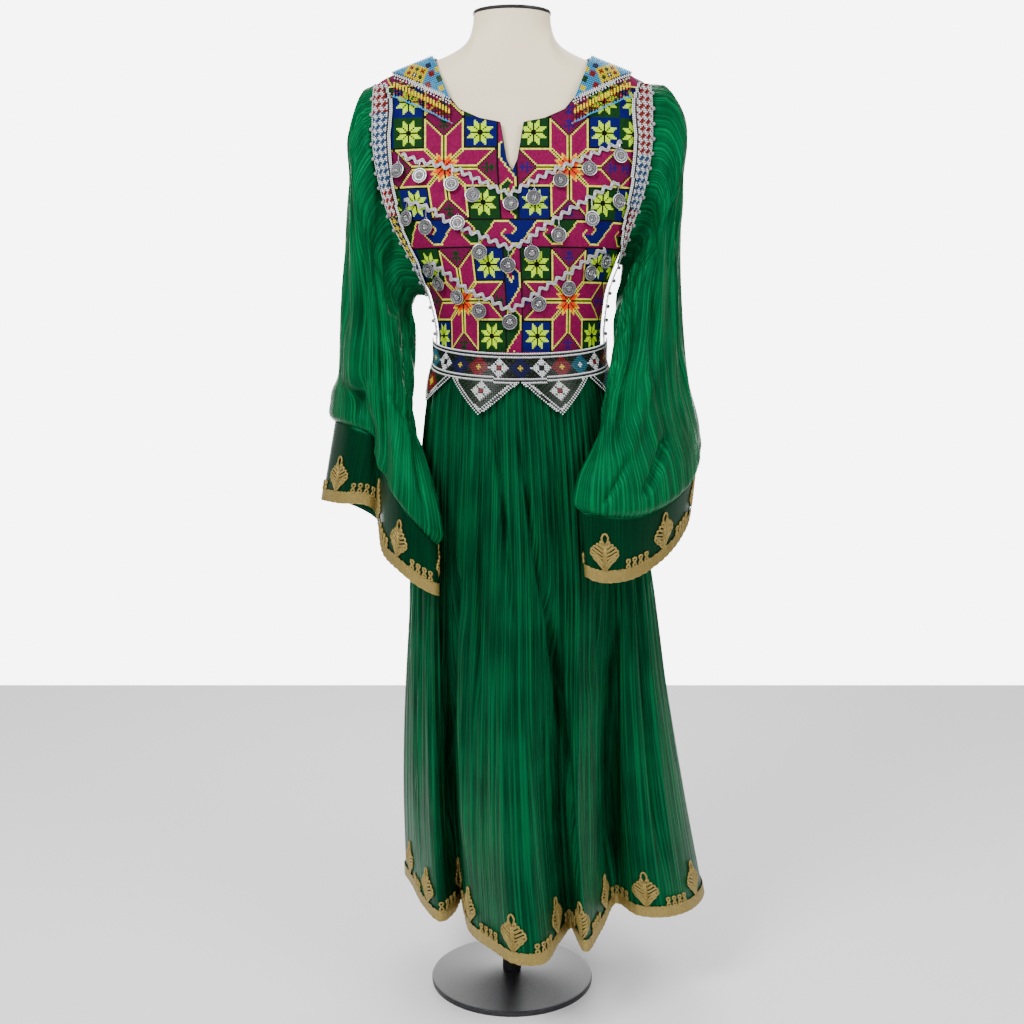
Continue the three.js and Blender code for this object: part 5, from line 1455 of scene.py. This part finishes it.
def armholeRing(hand, lift):
    count = sleeves["keyColumns"]
    angle = 2 * np.pi * np.arange(count) / count
    z = mix(armholeBottom(hand), shoulder["tip"], (1 + np.cos(angle)) / 2)
    isEnd = np.arange(count) % (count // 2) == 0
    front = onTorso(edgeX(z, hand), z, -1, lift, isEnd)
    back = onTorso(edgeX(z, hand), z, 1, lift, isEnd)
    ring = np.where((angle <= np.pi)[:, None], front, back)
    ring[:, 0] += hand * sleeves["armholeGap"]
    ring[isEnd, 1] = 0
    ring[0, 2] += garment["seam"]
    return ring


def sleeveRing(section, hand):
    outX, outY, outZ, inX, inY, inZ, front, back, bow = section
    angle = 2 * np.pi * np.arange(sleeves["keyColumns"]) / sleeves["keyColumns"]
    c, s = np.cos(angle), np.sin(angle)
    return np.stack([
        (outX + inX) / 2 + (outX - inX) / 2 * c + hand * bow * np.abs(s),
        mix(inY, outY, (1 + c) / 2) - np.where(s > 0, front, back) * s,
        (outZ + inZ) / 2 + (outZ - inZ) / 2 * c,
    ], -1)


def tableRing(rows, columns):
    return atShare(closedCurve(np.array(rows)), np.arange(columns) / columns)


def planSense(ring):
    after = np.roll(ring, -1, 0)
    return np.sign(np.sum(ring[:, 0] * after[:, 1] - after[:, 0] * ring[:, 1]))


# A ring moved sideways in plan, its corners kept
def offsetPlan(ring, distance):
    before = ring - np.roll(ring, 1, 0)
    after = np.roll(ring, -1, 0) - ring
    side = lambda edge: unit(np.stack([edge[:, 1], -edge[:, 0], np.zeros(len(edge))], -1))
    out = unit(side(before) + side(after))
    reach = distance / np.maximum(0.45, np.sum(out * side(before), 1))
    return ring + out * reach[:, None]


def puffRing(ring, grow, lift):
    swollen = offsetPlan(ring, grow * planSense(ring))
    swollen[:, 2] += lift
    return swollen


# Rings refined: smooth curves round each ring and from ring to ring
def refineRings(rings, columns, rows):
    fine = []
    for ring in rings:
        line, _ = closedCurve(ring, columns * 4)
        fine.append(line[:-1][::4])
    fine = np.stack(fine)
    step = np.linalg.norm(np.diff(fine, axis=0), axis=2).mean(1)
    walked = np.concatenate([[0], np.cumsum(step)])
    at = np.linspace(0, walked[-1], rows)
    slope = np.gradient(fine, walked, axis=0)
    i = np.clip(np.searchsorted(walked, at, side="right") - 1, 0, len(walked) - 2)
    span = (walked[i + 1] - walked[i])[:, None, None]
    t = ((at - walked[i]) / (walked[i + 1] - walked[i]))[:, None, None]
    return ((2 * t**3 - 3 * t**2 + 1) * fine[i] + (t**3 - 2 * t**2 + t) * span * slope[i]
            + (3 * t**2 - 2 * t**3) * fine[i + 1] + (t**3 - t**2) * span * slope[i + 1])


def sleeveGrid(side):
    sleeve = sleeves[side]
    hand = sleeve["hand"]
    join = tableRing(sleeve["join"], sleeves["keyColumns"])
    rings = [armholeRing(hand, bodiceOuter), *[sleeveRing(section, hand) for section in sleeve["sections"]],
             puffRing(join, 0.006, 0.034), puffRing(join, 0.007, 0.009), puffRing(join, 0, 0.0011)]
    return refineRings(rings, sleeves["columns"], sleeves["rows"])


def outwardSense(points):
    normals = gridNormals(points, True)
    middle = points.mean(1, keepdims=True)
    return np.sign(np.sum(normals * (points - middle)))


# Long folds of the sleeves: from x and z, to x and z, width, depth and bow
sleeveFolds = {
    "left": [
        (-0.217, 1.200, -0.225, 0.890, 0.0085, -0.0149, -0.004), (-0.206, 1.215, -0.190, 0.763, 0.0051, -0.0081, 0.008),
        (-0.182, 0.962, -0.150, 0.915, 0.0051, -0.0081, 0.000), (-0.160, 1.120, -0.118, 0.760, 0.0059, -0.0095, -0.008),
        (-0.184, 1.170, -0.172, 1.060, 0.0068, -0.0121, 0.000), (-0.240, 1.330, -0.247, 1.010, 0.0051, -0.0068, -0.004),
        (-0.185, 1.050, -0.165, 0.830, 0.0090, 0.0060, 0.000),
    ],
    "right": [
        (0.225, 1.330, 0.232, 1.000, 0.0068, -0.0095, 0.006), (0.200, 1.250, 0.206, 0.960, 0.0059, -0.0095, 0.004),
        (0.244, 1.260, 0.258, 0.930, 0.0051, -0.0081, 0.003), (0.180, 1.080, 0.146, 0.860, 0.0068, -0.0108, -0.004),
        (0.172, 0.876, 0.121, 0.792, 0.0051, -0.0081, 0.004), (0.226, 0.900, 0.186, 0.806, 0.0068, -0.0135, 0.006),
        (0.205, 0.990, 0.160, 0.840, 0.0080, 0.0060, 0.000),
    ],
}
# Their crinkles: how many across, how deep, and how far down the sleeve they stay strong
sleeveCrinkle = {
    "wide": 10, "wideDepth": 0.0029, "narrow": 24, "narrowDepth": 0.0013, "fadeFrom": 0.62, "fadeOver": 0.25,
}


# Share of the way from a sleeve's inner edge to its outer edge at the same height
def acrossSleeve(points):
    edges = []
    for column in (points.shape[1] // 2, 0):
        edge = points[:, column]
        edge = edge[np.argsort(edge[:, 2])]
        edges.append(np.interp(points[..., 2], edge[:, 2], edge[:, 0]))
    return (points[..., 0] - edges[0]) / (edges[1] - edges[0])


def buildSleeves():
    for side in ("left", "right"):
        points = sleeveGrid(side)
        sense = outwardSense(points)
        seed = 31 if side == "left" else 41
        cloth = clothCoordinates(points, True)[:, :-1]
        v = cloth[..., 1] / cloth[..., 1].max()
        turn = np.broadcast_to(np.arange(sleeves["columns"]) / sleeves["columns"], v.shape)
        fade = ease(v / 0.02) * ease((1 - v) / 0.02)
        x, y, z = points[..., 0], points[..., 1], points[..., 2]
        drift = 0.7 * unevenness(x * 22, z * 5, seed + 5)
        across = acrossSleeve(points)
        wide = unevenness(across * sleeveCrinkle["wide"] + drift, y * 88 + 0.5 * z, seed)
        narrow = unevenness(across * sleeveCrinkle["narrow"] + z * 3 + drift, y * 200 - z, seed + 1)
        strength = 0.5 + 0.7 * ease(0.5 + unevenness(turn * 9, v * 2.4, seed + 3))
        strength *= 1 - 0.75 * ease((v - sleeveCrinkle["fadeFrom"]) / sleeveCrinkle["fadeOver"])
        height = (sleeveCrinkle["wideDepth"] * (2.4 * np.abs(wide) - 0.8)
                  + sleeveCrinkle["narrowDepth"] * (2.4 * np.abs(narrow) - 0.8)) * strength
        frontShare = ease((0.004 - y) / 0.03)
        folds = sleeveFolds[side]
        height += laidCreases(x, z, folds) * frontShare
        height += laidCreases(x + 0.014 * np.sin(9 * z), z, folds) * ease((y - 0.012) / 0.03)
        points = points + sense * gridNormals(points, True) * (height * fade)[..., None]
        if sense < 0:
            points = points[:, ::-1]
        piece = clothPiece("sleeve" + side.capitalize(), points, sleeves["wall"], silk, "silk", "sleeve_" + side,
                           isRound=True)

        join = tableRing(sleeves[side]["join"], sleeves["cuffColumns"])
        hemRing = tableRing(sleeves[side]["hem"], sleeves["cuffColumns"])
        t = np.linspace(-0.035, 1, sleeves["cuffRows"])[:, None, None]
        cuff = join + (hemRing - join) * t
        if outwardSense(cuff) < 0:
            cuff = cuff[:, ::-1]
        piece = clothPiece("cuff" + side.capitalize(), cuff, sleeves["wall"], cuffSatin, "cuff_satin", "cuff_" + side,
                           isRound=True)


buildSleeves()
print("sleeves made")

# Gold braid at the hem and the cuffs: a ribbed border with palmettes and small loops standing on it
braid = {
    "height": 0.0175, "rib": 0.0031, "wave": 0.0125, "cord": 0.0017, "every": 0.104, "grow": 1.25,
    "halfWidths": [0.0100, 0.0165, 0.0205, 0.0200, 0.0165, 0.0115, 0.0065], "step": 0.0022, "foot": 0.0165,
}


def hemPlaces(first, s, h, lift):
    turns = first + np.linspace(0, 1, 1600)
    edge = skirtSurface(turns, np.full(len(turns), 0.985))
    walked = np.concatenate([[0], np.cumsum(np.linalg.norm(np.diff(edge, axis=0), axis=1))])
    turn = np.interp(s, walked, turns)
    t = 1 - np.asarray(h) / 0.86
    return skirtSurface(turn, t, lift), skirtOut(turn, t), walked[-1]


def cuffPlaces(side, s, h, lift):
    rings = [tableRing(sleeves[side][name], 288) for name in ("hem", "join")]
    grown = offsetPlan(rings[0], planSense(rings[0]) * 0.001)
    outs = unit(grown - rings[0])
    low, high, outs = (np.concatenate([ring, ring[:1]]) for ring in (*rings, outs))
    walked = np.concatenate([[0], np.cumsum(np.linalg.norm(np.diff(low, axis=0), axis=1))])
    s, h, lift = np.broadcast_arrays(np.mod(s, walked[-1]), h, lift)
    pick = lambda values: np.stack([np.interp(s, walked, values[:, k]) for k in range(3)], -1)
    base, out = pick(low), unit(pick(outs))
    points = base + unit(pick(high) - base) * h[..., None] + out * lift[..., None]
    return points, out, walked[-1]


# Cords of one palmette, as places along and above the edge
def palmetteLines(middle):
    lines = []
    for hand in (-1, 1):
        lines.append([(middle + hand * u, h) for u, h in ((0.0012, 0.0165), (0.0014, 0.030), (0.0012, 0.047))])
        for k, wide in enumerate(braid["halfWidths"]):
            foot = 0.0178 + 0.0042 * k
            rise = 0.0086 - 0.0006 * k
            loop = [(0.0015, foot), (wide * 0.55, foot + rise * 0.45), (wide * 0.92, foot + rise * 0.86),
                    (wide, foot + rise + 0.0012), (wide * 0.95, foot + rise + 0.0030),
                    (wide * 0.80, foot + rise + 0.0030), (wide * 0.45, foot + rise * 0.5 + 0.0032),
                    (0.0015, foot + 0.0034)]
            lines.append([(middle + hand * u, h) for u, h in loop])
    drop = [(0.0006, 0.0465), (0.0042, 0.0520), (0.0046, 0.0555), (0.0024, 0.0590), (0, 0.0600), (-0.0024, 0.0590),
            (-0.0046, 0.0555), (-0.0042, 0.0520), (-0.0006, 0.0465)]
    lines.append([(middle + u, h) for u, h in drop])
    return lines


def smallLoops(middle):
    turn = np.linspace(0, 2 * np.pi, 13)
    return [list(zip(middle + offset + 0.0031 * np.sin(2 * turn), 0.0220 + 0.0054 * np.sin(turn)))
            for offset in (-0.0165, -0.0055, 0.0055, 0.0165)]


def buildBraid(title, node, places, isClosed, gap):
    length = places(np.array([0.0]), np.array([0.0]), 0.0)[2]
    count = round(length / braid["step"])
    s = np.linspace(0, length, count + 1)
    h = np.linspace(-0.001, braid["height"], 13)
    sGrid, hGrid = np.meshgrid(s, h)
    bend = 0.9 * np.sin(2 * np.pi * sGrid / braid["wave"])
    rib = np.abs(np.sin(np.pi * hGrid / braid["rib"] + bend))
    edge = 0.0006 * np.sin(2 * np.pi * sGrid / (braid["wave"] / 2)) * (hGrid > braid["height"] * 0.95)
    points, outs, _ = places(sGrid, hGrid + edge, gap + 0.0017 * rib)
    mesh = gridMesh(title + "Border", points[::-1] if facesIn(points, outs) else points)
    border = addPiece(title + "Border", mesh, goldCord, "gold_braid", node)
    lines = []
    figures = round(length / braid["every"])
    for k in range(figures):
        middle = (k + 0.5) * length / figures
        lines.extend(palmetteLines(middle))
        if k < figures - 1 or isClosed:
            lines.extend(smallLoops(middle + length / figures / 2))
    cords = []
    for line in lines:
        line = np.array(line)
        line[:, 1] = mix(braid["foot"], line[:, 1], braid["grow"])
        path, out, _ = places(line[:, 0], line[:, 1], gap + 0.0008)
        cords.append(cordRings(path, out, braid["cord"], 5))
    figure = addPiece(title + "Figures", cordMesh(title + "Figures", cords), goldCord, "gold_braid", node)
    return [border, figure]


# Whether a grid's faces look against the directions given
def facesIn(points, outs):
    return np.sum(gridNormals(points) * outs) < 0


for first, side in ((0, "Front"), (1, "Back")):
    buildBraid("hemBraid" + side, "hem_braid_" + side.lower(),
                                lambda s, h, lift: hemPlaces(first, s, h, lift), False, 0.0010)
for side in ("left", "right"):
    buildBraid("cuffBraid" + side.capitalize(), "cuff_braid_" + side,
                                lambda s, h, lift: cuffPlaces(side, s, h, lift), True, 0.0006)
print("gold braid made")


# Studio: a pale floor, a large soft key light from the upper left, a fill and a top light
studio = {
    "floor": 1.8, "world": 0.72, "behind": 7.0, "brightFrom": (0.84, 0.90),
    "lights": [((-1.3, -1.8, 2.7), (0, 0, 1.25), 1.0, 80), ((1.7, -1.6, 2.2), (0, 0, 1.15), 1.0, 34),
               ((0.2, 1.6, 2.6), (0, 0, 1.1), 1.2, 30)],
}


def softLight(place, aim, size, power):
    deselectAll()
    bpy.ops.object.light_add(type="AREA", location=place)
    light = bpy.context.object
    light.data.size = size
    light.data.energy = power
    way = np.array(aim, float) - np.array(place, float)
    pitch = math.atan2(math.hypot(way[0], way[1]), -way[2])
    light.rotation_euler = (pitch, 0, math.atan2(way[1], way[0]) - math.pi / 2)


def buildStudio():
    deselectAll()
    bpy.ops.mesh.primitive_plane_add(size=studio["floor"] * 2)
    floor = bpy.context.object
    floor.name = "floor"
    floor.data.materials.append(grainMaterial("pale floor", (0.95, 0.95, 0.95), (0.97, 0.97, 0.97), 3.0, 0.75, 0.0001))
    world = bpy.data.worlds.new("studio")
    world.use_nodes = True
    tree = world.node_tree
    sky = tree.nodes["Background"]
    sky.inputs["Color"].default_value = (1, 1, 1, 1)
    way = addNode(tree, "TexCoord", pick="Generated")
    ahead = addNode(tree, "SeparateXYZ", {0: way}, pick="Y")
    low, high = studio["brightFrom"]
    glow = addNode(tree, "MapRange", {"Value": ahead}, {"From Min": low, "From Max": high, "To Min": studio["world"],
                                                        "To Max": studio["behind"]})
    feed(tree, sky, Strength=glow)
    bpy.context.scene.world = world
    for place, aim, size, power in studio["lights"]:
        softLight(place, aim, size, power)


buildStudio()
print("studio made")
